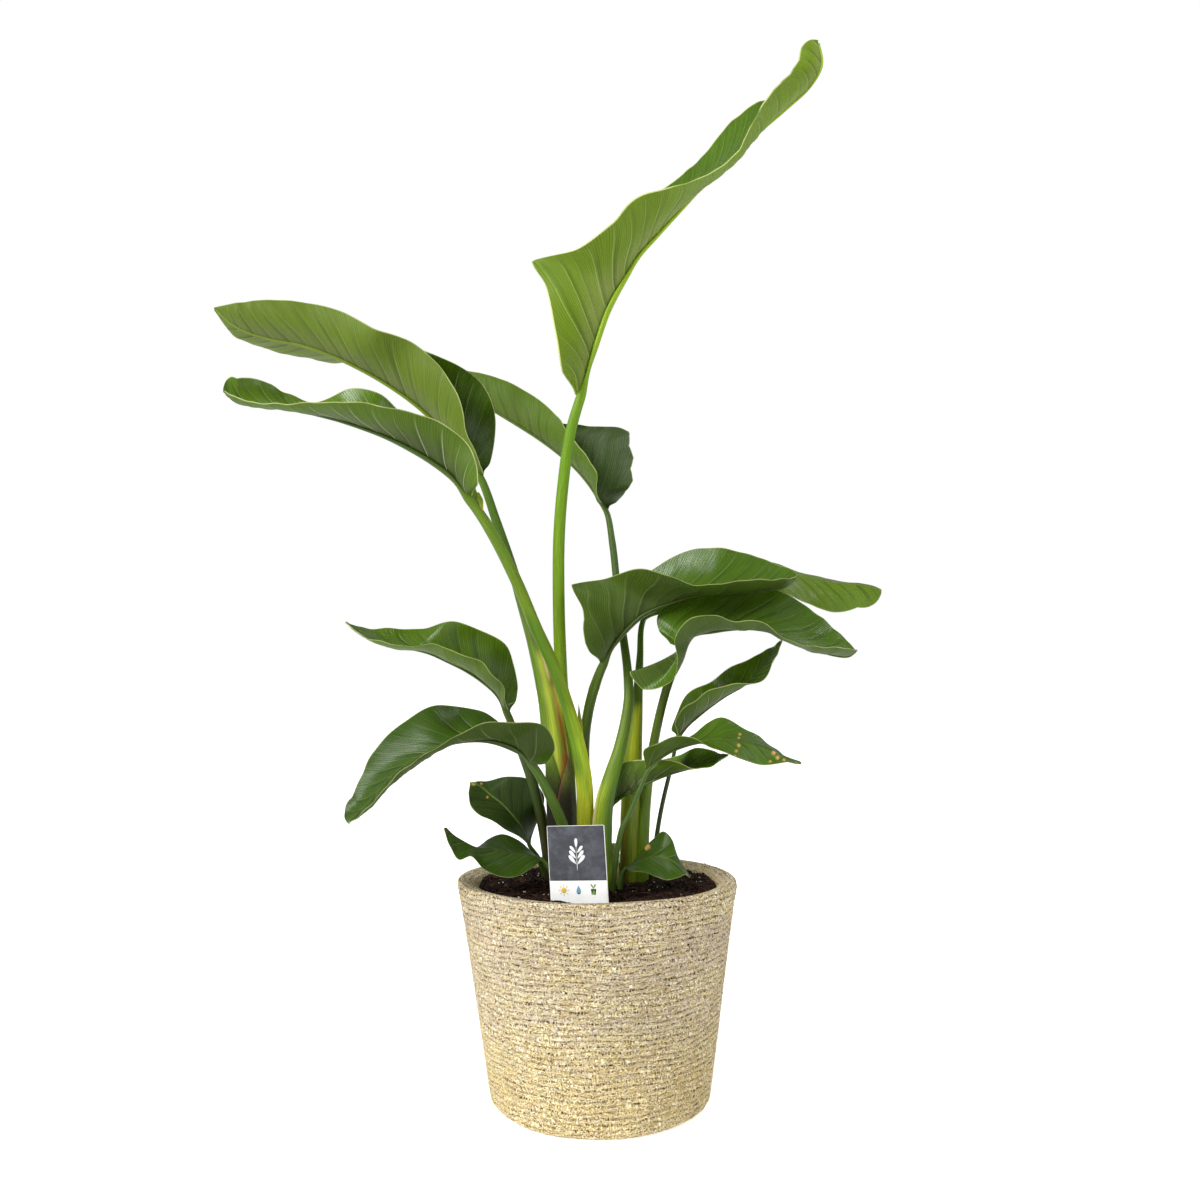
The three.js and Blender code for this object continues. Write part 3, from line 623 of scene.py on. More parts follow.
@dataclass(frozen=True)
class StrawFinish:
    """Seagrass twisted into a thin cord and coiled: dry, dull and fibrous, cream to straw yellow.

    What shows of a blade is a dash 5 mm long and 1.4 mm wide, which lies along the cord at a low slant.
    Each has its own tone and a thin dark line beside it. Small dark holes lie where two rows meet, and
    scattered between the blades. The upper half is greyer in clouds, and the foot is yellower.
    On the rim's inner slope the holes are fainter, and the straw is browner. The UV map holds the turns
    round the basket and the row.
    """

    name: str = "coiled_seagrass"
    dash: float = 5.0
    over_a_row: float = 3.0
    slant: float = 0.09
    round: float = 628.0
    dot: float = 0.9

    @staticmethod
    def tone(g: Graph, chance: Socket, other: Socket, high: Socket) -> Socket:
        """One blade's colour, from two chances of its own and its height.

        Args:
            g: The material's nodes.
            chance: Picks a tone from cream to straw.
            other: Picks the few grey and brown blades.
            high: The height, in metres.

        Returns:
            The colour.
        """
        straw = g.add("blend", chance, linear("#d0b876"), linear("#f2e8be"))
        straw = g.stain(straw, "#d0c0ae", g.add("band", other, 0.66, 0.7), 0.75)
        straw = g.stain(straw, "#a88f62", g.add("band", other, 0.16, 0.12), 0.8)
        return g.stain(straw, "#f6da88", g.add("band", high, 0.09, 0.03), 0.3)

    def holes(self, g: Graph, turn: Socket, row: Socket, over: Socket, along: Socket) -> Socket:
        """The dark holes: gappy lines of them where two rows meet, in patches, and a few anywhere.

        Args:
            g: The material's nodes.
            turn: The turns round the basket.
            row: The row, with its fraction.
            over: How high in its row a point lies, from -1 to 1.
            along: The millimetres along the cord.

        Returns:
            1 in a hole.
        """
        meet = g.add("times", g.add("floor", g.add("plus", row, 0.5)), 7.3)
        dot = g.add("noise", g.add("pair", g.add("times", turn, self.round / self.dot), meet), 1.0, 1.0)
        joint = g.add("band", g.add("absolute", over), 0.6, 0.8)
        hole = g.add("times", joint, g.add("band", dot, 0.49, 0.55))
        patch = g.add("noise", g.add("pair", g.add("times", along, 0.06), g.add("times", row, 0.6)), 1.0, 1.0)
        hole = g.add("times", hole, g.add("plus", 0.4, g.add("times", g.add("band", patch, 0.4, 0.6), 0.6)))
        speck = g.add("noise", g.add("pair", g.add("times", along, 0.72), g.add("times", row, 3.3)), 1.0)
        return g.add("maximum", hole, g.add("times", g.add("band", speck, 0.6, 0.65), 0.95))

    def material(self) -> bpy.types.Material:
        """The wall's material, worked out along the cord so that it has no seam.

        Returns:
            The material.
        """
        g = Graph(self.name)
        at = g.add("place")
        high = g.add("part", at, out=2)
        uv = g.add("UVMap", uv_map="cord")
        turn, level = (g.add("part", uv, out=i) for i in range(2))
        jog = g.add("noise", g.add("stretch", at, (110.0, 110.0, 240.0)), 1.0)
        row = g.add("plus", level, g.add("times", g.add("minus", jog, 0.5), 1.05))
        number = g.add("floor", row)
        over = g.add("minus", g.add("times", g.add("minus", row, number), 2.0), 1.0)
        along = g.add("times", g.add("plus", turn, number), self.round)
        sway = g.add("noise", g.add("pair", g.add("times", along, 0.16), g.add("times", row, 1.1)), 1.0)
        lane = g.add("plus", g.add("times", row, self.over_a_row), g.add("times", along, self.slant))
        lane = g.add("plus", lane, g.add("times", sway, 5.0))
        cell_at = g.add("pair", g.add("divide", along, self.dash), lane)
        cell = {"Vector": cell_at, "Scale": 1.0, "Randomness": 1.0}
        own = g.add("TexVoronoi", cell, out="Color", voronoi_dimensions="2D")
        chance, other = (g.add("SeparateColor", {0: own}, out=i) for i in range(2))
        edge = g.add(
            "TexVoronoi", cell, out="Distance", voronoi_dimensions="2D", feature="DISTANCE_TO_EDGE"
        )

        flat = g.add("stretch", at, (1.0, 1.0, 0.0))
        from_axis = g.add("VectorMath", {0: flat}, out="Value", operation="LENGTH")
        # The rim's inner slope, where the holes are fainter and the straw is stained browner.
        rim_inner_slope = g.add("times", g.add("band", high, 0.15, 0.16), g.add("band", from_axis, 0.0985, 0.0945))
        wall = g.add("minus", 1.0, rim_inner_slope)
        hole = self.holes(g, turn, row, over, along)
        hole = g.add("times", hole, g.add("plus", 0.45, g.add("times", wall, 0.55)))
        line = g.add("times", g.add("band", edge, 0.16, 0.03), g.add("plus", 0.15, g.add("times", wall, 0.3)))
        fleck_at = g.add("pair", g.add("times", along, 0.6), g.add("times", lane, 1.9))
        fleck = g.add("noise", fleck_at, 1.0, 2.0, 0.7)
        cloud = g.add("noise", g.add("stretch", at, (9.0, 9.0, 42.0)), 1.0, 3.0)
        grey = g.add("times", g.add("band", high, 0.04, 0.1), g.add("band", cloud, 0.42, 0.62))

        straw = self.tone(g, chance, other, high)
        straw = g.stain(straw, "#fffae2", g.add("band", fleck, 0.5, 0.62), 0.8)
        straw = g.stain(straw, "#90702e", g.add("band", fleck, 0.49, 0.38), 0.8)
        straw = g.stain(straw, "#c4b4a2", grey, 0.42)
        straw = g.stain(straw, "#c4a878", g.add("minus", 1.0, wall), 0.3)
        straw = g.stain(straw, "#6d5836", line)
        colour = g.stain(straw, "#3a1e06", hole)
        height = g.add("times", g.add("band", edge, 0.0, 0.3), 0.6)
        height = g.add("plus", height, g.add("times", chance, 0.4))
        height = g.add("minus", g.add("plus", height, g.add("times", fleck, 0.8)), hole)
        return g.finish(colour, 0.82, ior=1.5, specular=0.12, relief=height, depth=0.0005)


@dataclass(frozen=True)
class LooseStrawFinish:
    """Single blades of dry seagrass on the cord: the same tones as the wall, one to each blade."""

    name: str = "loose_seagrass_blades"

    def material(self) -> bpy.types.Material:
        """The blades' material. chances are two numbers from 0 to 1 for each blade.

        Returns:
            The material.
        """
        g = Graph(self.name)
        at, chances = g.add("place"), g.add("attribute", attribute_name="chances")
        high = g.add("part", at, out=2)
        fibre = g.add("noise", at, 900.0)
        straw = StrawFinish.tone(g, g.add("part", chances, out=0), g.add("part", chances, out=1), high)
        straw = g.stain(straw, "#b5a592", g.add("band", high, 0.05, 0.11), 0.22)
        straw = g.stain(straw, "#8a7450", g.add("band", fibre, 0.5, 0.7), 0.35)
        return g.finish(straw, 0.8, ior=1.5, specular=0.2, relief=fibre, depth=0.0002)


@dataclass(frozen=True)
class CrumbFinish:
    """Loose grains of one kind, dull and dry, with a tone that differs from place to place.

    grain is the size of a tone in millimetres.
    """

    name: str
    dark: str
    light: str
    roughness: float
    grain: float
    shine: float = 0.16

    def material(self) -> bpy.types.Material:
        """The grains' material.

        Returns:
            The material.
        """
        g = Graph(self.name)
        tone = g.add("noise", g.add("place"), 1000 / self.grain, 3.0, 0.7)
        colour = g.add("blend", g.add("band", tone, 0.35, 0.7), linear(self.dark), linear(self.light))
        return g.finish(colour, self.roughness, ior=1.45, specular=self.shine, relief=tone, depth=0.0006)


@dataclass(frozen=True)
class PotFinish:
    """Moulded recycled polypropylene: black, with a soft sheen, flow marks and dust from the soil."""

    name: str = "moulded_black_polypropylene"

    def material(self) -> bpy.types.Material:
        """The nursery pot's material.

        Returns:
            The material.
        """
        g = Graph(self.name)
        at = g.add("place")
        flow = g.add("noise", g.add("stretch", at, (60.0, 60.0, 6.0)), 5.0, 3.0)
        dust = g.add("noise", at, 90.0, 5.0)
        colour = g.add("blend", g.add("band", flow, 0.3, 0.7), linear("#151414"), linear("#232120"))
        colour = g.stain(colour, "#4a3a2c", g.add("band", dust, 0.52, 0.75), 0.4)
        rough = g.add("MapRange", {0: dust, 3: 0.42, 4: 0.75})
        return g.finish(colour, rough, ior=1.49, relief=flow, depth=0.00008)


@dataclass(frozen=True)
class InkFinish:
    """Coated card, printed in one colour: flat and slightly glossy, with the ink a little cloudy."""

    name: str
    ink: str
    cloud: str
    roughness: float = 0.38

    def material(self) -> bpy.types.Material:
        """The card's material in this ink.

        Returns:
            The material.
        """
        g = Graph(self.name)
        at = g.add("place")
        cloud, tooth = g.add("noise", at, 120.0, 5.0, 0.62), g.add("noise", at, 2500.0)
        colour = g.add("blend", g.add("band", cloud, 0.38, 0.7), linear(self.ink), linear(self.cloud))
        return g.finish(colour, self.roughness, ior=1.5, relief=tooth, depth=0.00002)


@dataclass(frozen=True)
class DrySheathFinish:
    """An old leaf foot, dying back: fleshy to papery, ribbed lengthwise, with brown blotches."""

    name: str
    dead: str
    dryness: float

    def material(self) -> bpy.types.Material:
        """The old sheath's material: its own attribute's colour, dried in blotches, with dark ribs.

        Returns:
            The material.
        """
        g = Graph(self.name)
        fibre = g.add("attribute", attribute_name="fibre")
        ribs = g.add("noise", g.add("stretch", fibre, (1.6, 0.05, 1.0)), 5.0, 3.0)
        blotch = g.add("noise", g.add("stretch", fibre, (0.12, 0.05, 1.0)), 5.0, 3.0)
        colour = g.add("attribute", attribute_name="flesh")
        colour = g.stain(colour, self.dead, g.add("band", blotch, 0.4, 0.65), self.dryness)
        colour = g.stain(colour, "#33290f", g.add("band", ribs, 0.45, 0.7), 0.3)
        return g.finish(colour, 0.5, ior=1.45, specular=0.28, relief=ribs, depth=0.0004)


# The leaves


@dataclass(frozen=True)
class Flush:
    """A patch of another colour on a stalk.

    It lies between two heights on the glass. Its middle goes from one turn to another as it rises: 0
    faces the eye, -90 is the left side and 90 the right. wide is where its strength has fallen to a
    third, in degrees. A positive rise makes it stand out by so many millimetres, as a sheath's edge.
    """

    colour: str
    low: float
    high: float
    turns: tuple[float, float]
    wide: float
    strength: float = 1.0
    soft: float = 12.0
    rise: float = 0.0

    def weight(self, up: Array, turn: Array) -> Array:
        """How strongly it shows: a bell round its middle, eased in over its soft ends.

        Args:
            up: Heights on the glass.
            turn: The ways that the stalk's points face, in degrees.

        Returns:
            Its weight at each point, from 0 to strength.
        """
        share = np.clip((up - self.low) / (self.high - self.low), 0, 1)
        middle = self.turns[0] + (self.turns[1] - self.turns[0]) * share
        away = (turn - middle + 180) % 360 - 180
        ends = ease(self.low - self.soft, self.low, up) * ease(self.high + self.soft, self.high, up)
        return self.strength * ends * np.exp(-((away / self.wide) ** 2))


@dataclass(frozen=True)
class Sliver:
    """A thin loose strip of a sheath or of a torn blade: rows of across, up, deep and half width.

    No part of it is thinner than least.
    """

    path: tuple[Row, ...]
    colour: str
    tip: str
    thick: float = 0.35
    least: float = 0.12

    def surface(self) -> Surface:
        """Flat ellipses along the strip's smooth line, as wide as they are seen, from root to tip.

        Returns:
            The closed strip.
        """
        table = np.array(self.path, float)
        at = np.linspace(0, len(table) - 1, 26)
        centre = smooth_line(GLASS.place(*table[:, :3].T), at)
        wide = np.maximum(np.interp(at, np.arange(len(table)), table[:, 3]), self.least)[:, None]
        turn = (np.arange(12) + 0.5) / 12 * 2 * math.pi
        ellipse = np.broadcast_arrays(wide * np.cos(turn), self.thick * np.sin(turn), 0.0)
        rings = centre[:, None] + np.stack(ellipse, -1)
        share = ease(0.4, 1.0, at / at[-1])[:, None, None]
        flesh = np.broadcast_to(rgb(self.colour) * (1 - share) + rgb(self.tip) * share, rings.shape)
        fibre = np.stack([rings[..., 0], rings[..., 2], np.zeros(rings.shape[:2])], -1)
        return skin(rings, 1, flesh=flesh, fibre=fibre)


@dataclass(frozen=True)
class Leaf:
    """One leaf: a stalk with its sheathing foot, and a blade folded along its midrib.

    stalk has across, up, deep, half width and, where it is flattened, half depth. blade has a row for
    each main vein: the midrib's across, up and deep, then where the vein ends on the near edge and on
    the far edge, across and up. reach is the half width of the blade in space, and cup is how far each
    half bulges under. All of it is drawn on the glass, in millimetres, as in the solids.

    cusps are small points and notches of the margin: the half (0 far, 1 near), the place in rows, how
    far it stands out and how wide it is. marks are dry spots: across, up and radius.

    pleat is the spacing of the main veins and relief their height. ripple and billow are how far the
    margin and the blade wave, and slant is how far the veins lean towards the tip. steps is the number
    of sections to a row, and channel how deep the stalk's groove is, as a share of its radius.
    """

    name: str
    tone: Tone
    reach: float
    cup: float
    stalk: tuple[Row, ...]
    blade: tuple[Row, ...]
    foot: str = "#6f8a28"
    neck: str = "#45661a"
    flushes: tuple[Flush, ...] = ()
    slivers: tuple[Sliver, ...] = ()
    marks: tuple[Row, ...] = ()
    cusps: tuple[Row, ...] = ()
    round_tip: bool = False
    pleat: float = 15.0
    relief: float = 0.45
    ripple: float = 0.5
    billow: float = 0.8
    slant: float = 1.0
    steps: int = 14
    thick: float = 0.7
    channel: float = 0.16
    seed: int = 1

    def sizes(self, at: Array) -> Array:
        """Half the stalk's width and depth at places along the leaf; past the stalk it thins out.

        Args:
            at: Places along the leaf, from 0 at the foot, one to a row.

        Returns:
            Two numbers for each place, in millimetres.
        """
        table = np.array([(row[3], row[4] if len(row) > 4 else row[3]) for row in self.stalk])
        count = len(table)
        along = np.clip((at - count + 1) / len(self.blade), 0, 1)
        thin = np.where(at >= count - 1, 1 + (KEEL_AT_TIP - 1) * along**KEEL_FADE, 1.0)
        return np.stack([np.interp(at, np.arange(count), table[:, i]) for i in (0, 1)], 1) * thin[:, None]

    def lines(self) -> tuple[Array, Array, Array]:
        """The control points of the midrib, the far edge and the near edge.

        An edge's depth is the midrib's, less or more the root of the blade's real half width squared
        less the width that shows squared. The real half width is reach times a power of a sine.

        Returns:
            The three lines, each n by 3, in millimetres.
        """
        stem = GLASS.place(*np.array([row[:3] for row in self.stalk], float).T)
        rows = np.array(self.blade, float)
        middle = GLASS.place(*rows[:, :3].T)
        along = np.arange(len(rows)) / (len(rows) - 1)
        reach = self.reach * np.clip(np.sin(math.pi * along**BLADE_FULLEST), 0, 1) ** BLADE_ROUND
        found = []
        for column, side in ((5, 1), (3, -1)):
            across, up = rows[:, column], rows[:, column + 1]
            flat = np.linalg.norm(GLASS.place(across, up, rows[:, 2]) - middle, axis=1)
            deep = rows[:, 2] + side * np.sqrt(np.maximum(0, reach**2 - flat**2))
            found.append(np.vstack([stem, GLASS.place(across, up, deep)]))
        return np.vstack([stem, middle]), found[0], found[1]

    def halves(self, centre: Array, edges: Array, ahead: Array) -> tuple[Array, Array, Array]:
        """The way out to each margin, how far it is, and the way under, which is square to both.

        Args:
            centre: The blade's middle, n by 3.
            edges: The far and the near margin, 2 by n by 3.
            ahead: The unit direction of the midrib.

        Returns:
            The three of them, for the far and the near half.
        """
        handed = np.sign(self.blade[-1][0] - self.blade[0][0])
        out = edges - centre
        width = np.linalg.norm(out, axis=-1)
        out = unit(out)
        under = unit(np.cross(ahead[None], out)) * np.array([-handed, handed])[:, None, None]
        return out, width, under

    def fold(self, at: Array) -> tuple[Array, Array, Array, Array, Array, Array]:
        """The blade's frame at places along it.

        The drawn midrib is the underside of the keel, so the middle of the blade lies over it by the
        keel's depth, from nothing at the base to all of it two rows on.

        Args:
            at: Places along the leaf, from 0 at the foot, one to a row.

        Returns:
            The drawn midrib, the way up, the lift, and out, width and under of the two halves.
        """
        rib, far, near = self.lines()
        centre, ahead = smooth_line(rib, at), heading(rib, at)
        edges = np.stack([smooth_line(far, at), smooth_line(near, at)])
        up = -unit(self.halves(centre, edges, ahead)[2].mean(0))
        keel = np.maximum(self.sizes(at)[:, 0], KEEL_LEAST)
        lift = np.clip((at - len(self.stalk)) / 2, 0, 1) * (keel * KEEL_DEPTH + SOLID_HALF)
        out, width, under = self.halves(centre + up * lift[:, None], edges, ahead)
        return centre, up, lift, out, width, under

    def stations(self) -> Array:
        """Where along the leaf its blade has a section: closer by its base and towards its tip.

        Returns:
            The places, one to a row.
        """
        rows = len(self.blade)
        by_base = np.linspace(0.02, 1, self.steps + 6)
        along = np.linspace(1, rows - 2, (rows - 3) * self.steps)[1:]
        to_tip = np.sin(np.linspace(0, math.pi / 2, self.steps + 4))[1:]
        tip = rows - 2 + to_tip * (0.995 if self.round_tip else 0.98)
        return len(self.stalk) + np.concatenate([by_base, along, tip])

    def round_off(self, at: Array, *frame_of: Array) -> list[Array]:
        """Rounds a blade's last row: its width goes by the root of 1 - x^2, and its frame stays.

        Args:
            at: Places along the leaf, from 0 at the foot, one to a row.
            *frame_of: Out, width and under, as fold gives them.

        Returns:
            Out, width and under, rounded.
        """
        out, width, under = frame_of
        last = np.clip(at - len(self.stalk) - len(self.blade) + 2, 0, 1)
        before = np.argmax(last > 0) - 1
        kept = slice(before, before + 1)
        width = np.where(last > 0, width[:, kept] * np.sqrt(1 - last**2), width)
        out, under = (np.where(last[None, :, None] > 0, way[:, kept], way) for way in (out, under))
        return [out, width, under]

    def sag(self, q: Array, length: Array, width: Array) -> tuple[Array, Array]:
        """How far the blade lies under a straight line out from the midrib.

        That is the cup 4q(1 - q), the pleats between main veins, a slow billow, and ripples that grow
        with the cube of q towards the margin. The main veins leave the midrib at an acute angle and
        bend out: where one ends it has gone slant times the half blade's width towards the tip.

        Args:
            q: Shares of the way out.
            length: How far along the midrib each section is, as a column.
            width: The width of each half at each section.

        Returns:
            The sag, and the place among the main veins, 1 to a vein.
        """
        distance = q * width[..., None]
        s = length - self.slant * distance * (1.5 - 0.5 * q)
        place = s / self.pleat + 0.16 * wander(s, (61.0, 97.0, 39.0), self.seed)
        phase = place - np.floor(place)
        window = np.minimum(1, 4 * q) * np.minimum(1, 3.2 * (1 - q)) * ease(0, 16, length)
        strength = 0.75 + 0.5 * wander(place, (2.7, 4.3), self.seed + 3)
        ridge = np.exp(-phase / 0.24) + np.exp(-(1 - phase) / 0.13) - 0.4
        fine = 0.05 * np.sin(2 * math.pi * 3 * place)
        pleats = (self.relief * strength * ridge + fine) * window
        wave = wander(s, (33.0, 21.0, 58.0), self.seed + 7) * q**3 * self.ripple * 2.2
        slow = wander(s, (41.0, 73.0), self.seed + 5) * np.sin(math.pi * q) * self.billow
        settled = ease(0, 25, length) * np.minimum(1, width / 12)[..., None]
        return 4 * self.cup * (1 - q) * distance + pleats + (wave + slow) * settled, place

    def blade_surface(self) -> Surface:
        """The blade: out from the midrib to both margins, and as thin as a leaf.

        Close to the midrib both halves sag the same way, and a shallow groove runs along the top.

        Returns:
            The closed surface, with its vein and skin attributes.
        """
        at = self.stations()
        centre, up, lift, out, width, under = self.fold(at)
        for half, row, amount, wide in self.cusps:
            width[int(half)] += amount * np.exp(-np.abs(at - len(self.stalk) - row) / wide)
        if self.round_tip:
            out, width, under = self.round_off(at, out, width, under)
        q = np.concatenate([np.linspace(0, 0.12, 4)[:-1], np.linspace(0.12, 0.92, 15), [0.96, 0.985, 1.0]])
        sag, place = self.sag(q, run(centre)[:, None], width)
        distance = q * width[..., None]
        turned = np.minimum(1, distance / 3.5)[..., None]
        way = unit(unit(under.mean(0))[None, :, None] * (1 - turned) + under[:, :, None] * turned)
        half = self.thick / 2 * np.sqrt(np.maximum(0, 1 - q**10)) + 0.1
        base = (centre + up * lift[:, None])[None, :, None] + out[:, :, None] * distance[..., None]
        groove = 0.5 * np.exp(-((distance / 1.3) ** 2))
        top = base + way * (sag - half + groove)[..., None]
        bottom = base + way * (sag + half)[..., None]

        vein = np.stack([place, distance, width[..., None] - distance], -1)
        seen = GLASS.seen_at(base)
        mark = np.zeros(distance.shape)
        for across, high, size in self.marks:
            away = np.linalg.norm(seen - np.array([across, high]), axis=-1)
            mark = np.maximum(mark, np.exp(-((away / size) ** 2)))
        shares = np.broadcast_to(q, distance.shape)
        sides = [np.stack([shares, np.full(distance.shape, upper), mark], -1) for upper in (1.0, 0.0)]
        rings, vein, on_skin = (margin_to_margin(*pair) for pair in ((top, bottom), (vein, vein), sides))
        return skin(rings, vein=vein, skin=on_skin)

    def stalk_surface(self) -> Surface:
        """The stalk and, beyond it, the keel under the blade, as one tapering tube.

        A ring of the stalk is an ellipse as wide and as deep as the eye sees it, pressed in on its upper
        side by a bell-shaped channel. Under the blade it goes over into an ellipse between the drawn
        midrib and the blade.

        Returns:
            The closed surface, with its flesh and fibre attributes.
        """
        start, rows = len(self.stalk), len(self.blade)
        around = 40 if self.stalk[0][3] > 3 else 22
        on_stalk = np.linspace(0, start, start * 9, endpoint=False)
        on_blade = start + np.linspace(0, rows - 1.15, rows * 5)
        at = np.concatenate([on_stalk, on_blade])
        rib, _, _ = self.lines()
        centre, ahead = smooth_line(rib, at), heading(rib, at)
        lift, up = np.zeros(len(at)), np.zeros((len(at), 3))
        _, up[len(on_stalk) + 1 :], lift[len(on_stalk) + 1 :] = self.fold(on_blade[1:])[:3]
        for i in range(len(on_stalk), -1, -1):
            up[i] = unit(up[i + 1] - ahead[i] * (up[i + 1] @ ahead[i]))
        side = np.cross(ahead, up)
        size = self.sizes(at)
        wide = unit(np.array([1.0, 0, 0]) - ahead * ahead[:, :1])
        deep = np.cross(ahead, wide)
        turn = (np.arange(around) + 0.5) / around * 2 * math.pi
        ray = up[:, None] * np.cos(turn)[None, :, None] + side[:, None] * np.sin(turn)[None, :, None]
        ways = [np.einsum("ijk,ik->ij", ray, way) for way in (wide, deep)]
        radius = 1 / np.hypot(ways[0] / size[:, :1], ways[1] / size[:, 1:])
        bell = np.exp(-((np.minimum(turn, 2 * math.pi - turn) / 0.5) ** 2))
        radius = radius * (1 - self.channel * bell * ease(-1, start, at)[:, None])
        ups = np.interp(at, np.arange(start + rows), [row[1] for row in self.stalk + self.blade])
        facing = np.degrees(np.arctan2(ray[..., 0], -ray[..., 1]))
        for flush in self.flushes:
            radius = radius + flush.rise * flush.weight(ups[:, None], facing)
        stalk = centre[:, None] + ray * radius[..., None]
        keel = np.maximum(size[:, 0], KEEL_LEAST)[:, None]
        tall = (lift / 2 + 0.05)[:, None]
        under = (
            centre[:, None]
            + up[:, None] * (tall * (1 + np.cos(turn)))[..., None]
            + side[:, None] * (keel * np.sin(turn))[..., None]
        )
        share = ease(0, 1.6, at - start)[:, None, None]
        rings = stalk * (1 - share) + under * share

        girth = (turn * size.mean(1).max())[None, :]
        fibre = np.stack(np.broadcast_arrays(girth, run(centre)[:, None], 0.0), -1)
        return skin(rings, 1, flesh=self.flesh(ups[:, None], facing, at), fibre=fibre)

    def flesh(self, up: Array, turn: Array, at: Array) -> Array:
        """The stalk's colour: from foot to neck, then the keel's, with its flushes laid over it.

        Args:
            up: Heights on the glass.
            turn: The ways that the points face, in degrees.
            at: Places along the leaf, from 0 at the foot, one to a row.

        Returns:
            A linear colour for each point.
        """
        foot, neck, rib = (rgb(colour) for colour in (self.foot, self.neck, self.tone.value.keel))
        rise = ease(0, len(self.stalk) - 1, at)[:, None, None]
        beyond = ease(len(self.stalk) - 1, len(self.stalk) + 3, at)[:, None, None]
        colour = (foot * (1 - rise) + neck * rise) * (1 - beyond) + rib * beyond
        colour = np.broadcast_to(colour, (*turn.shape, 3))
        for flush in self.flushes:
            weight = flush.weight(up, turn)[..., None]
            colour = colour * (1 - weight) + rgb(flush.colour) * weight
        return colour

    def build(self, blade: bpy.types.Material, stalk: bpy.types.Material) -> None:
        """Makes the leaf, in place of its solid."""
        parts = [self.blade_surface(), self.stalk_surface(), *(s.surface() for s in self.slivers)]
        make_piece(self.name + "_living", parts, [blade, stalk], (self.name,))


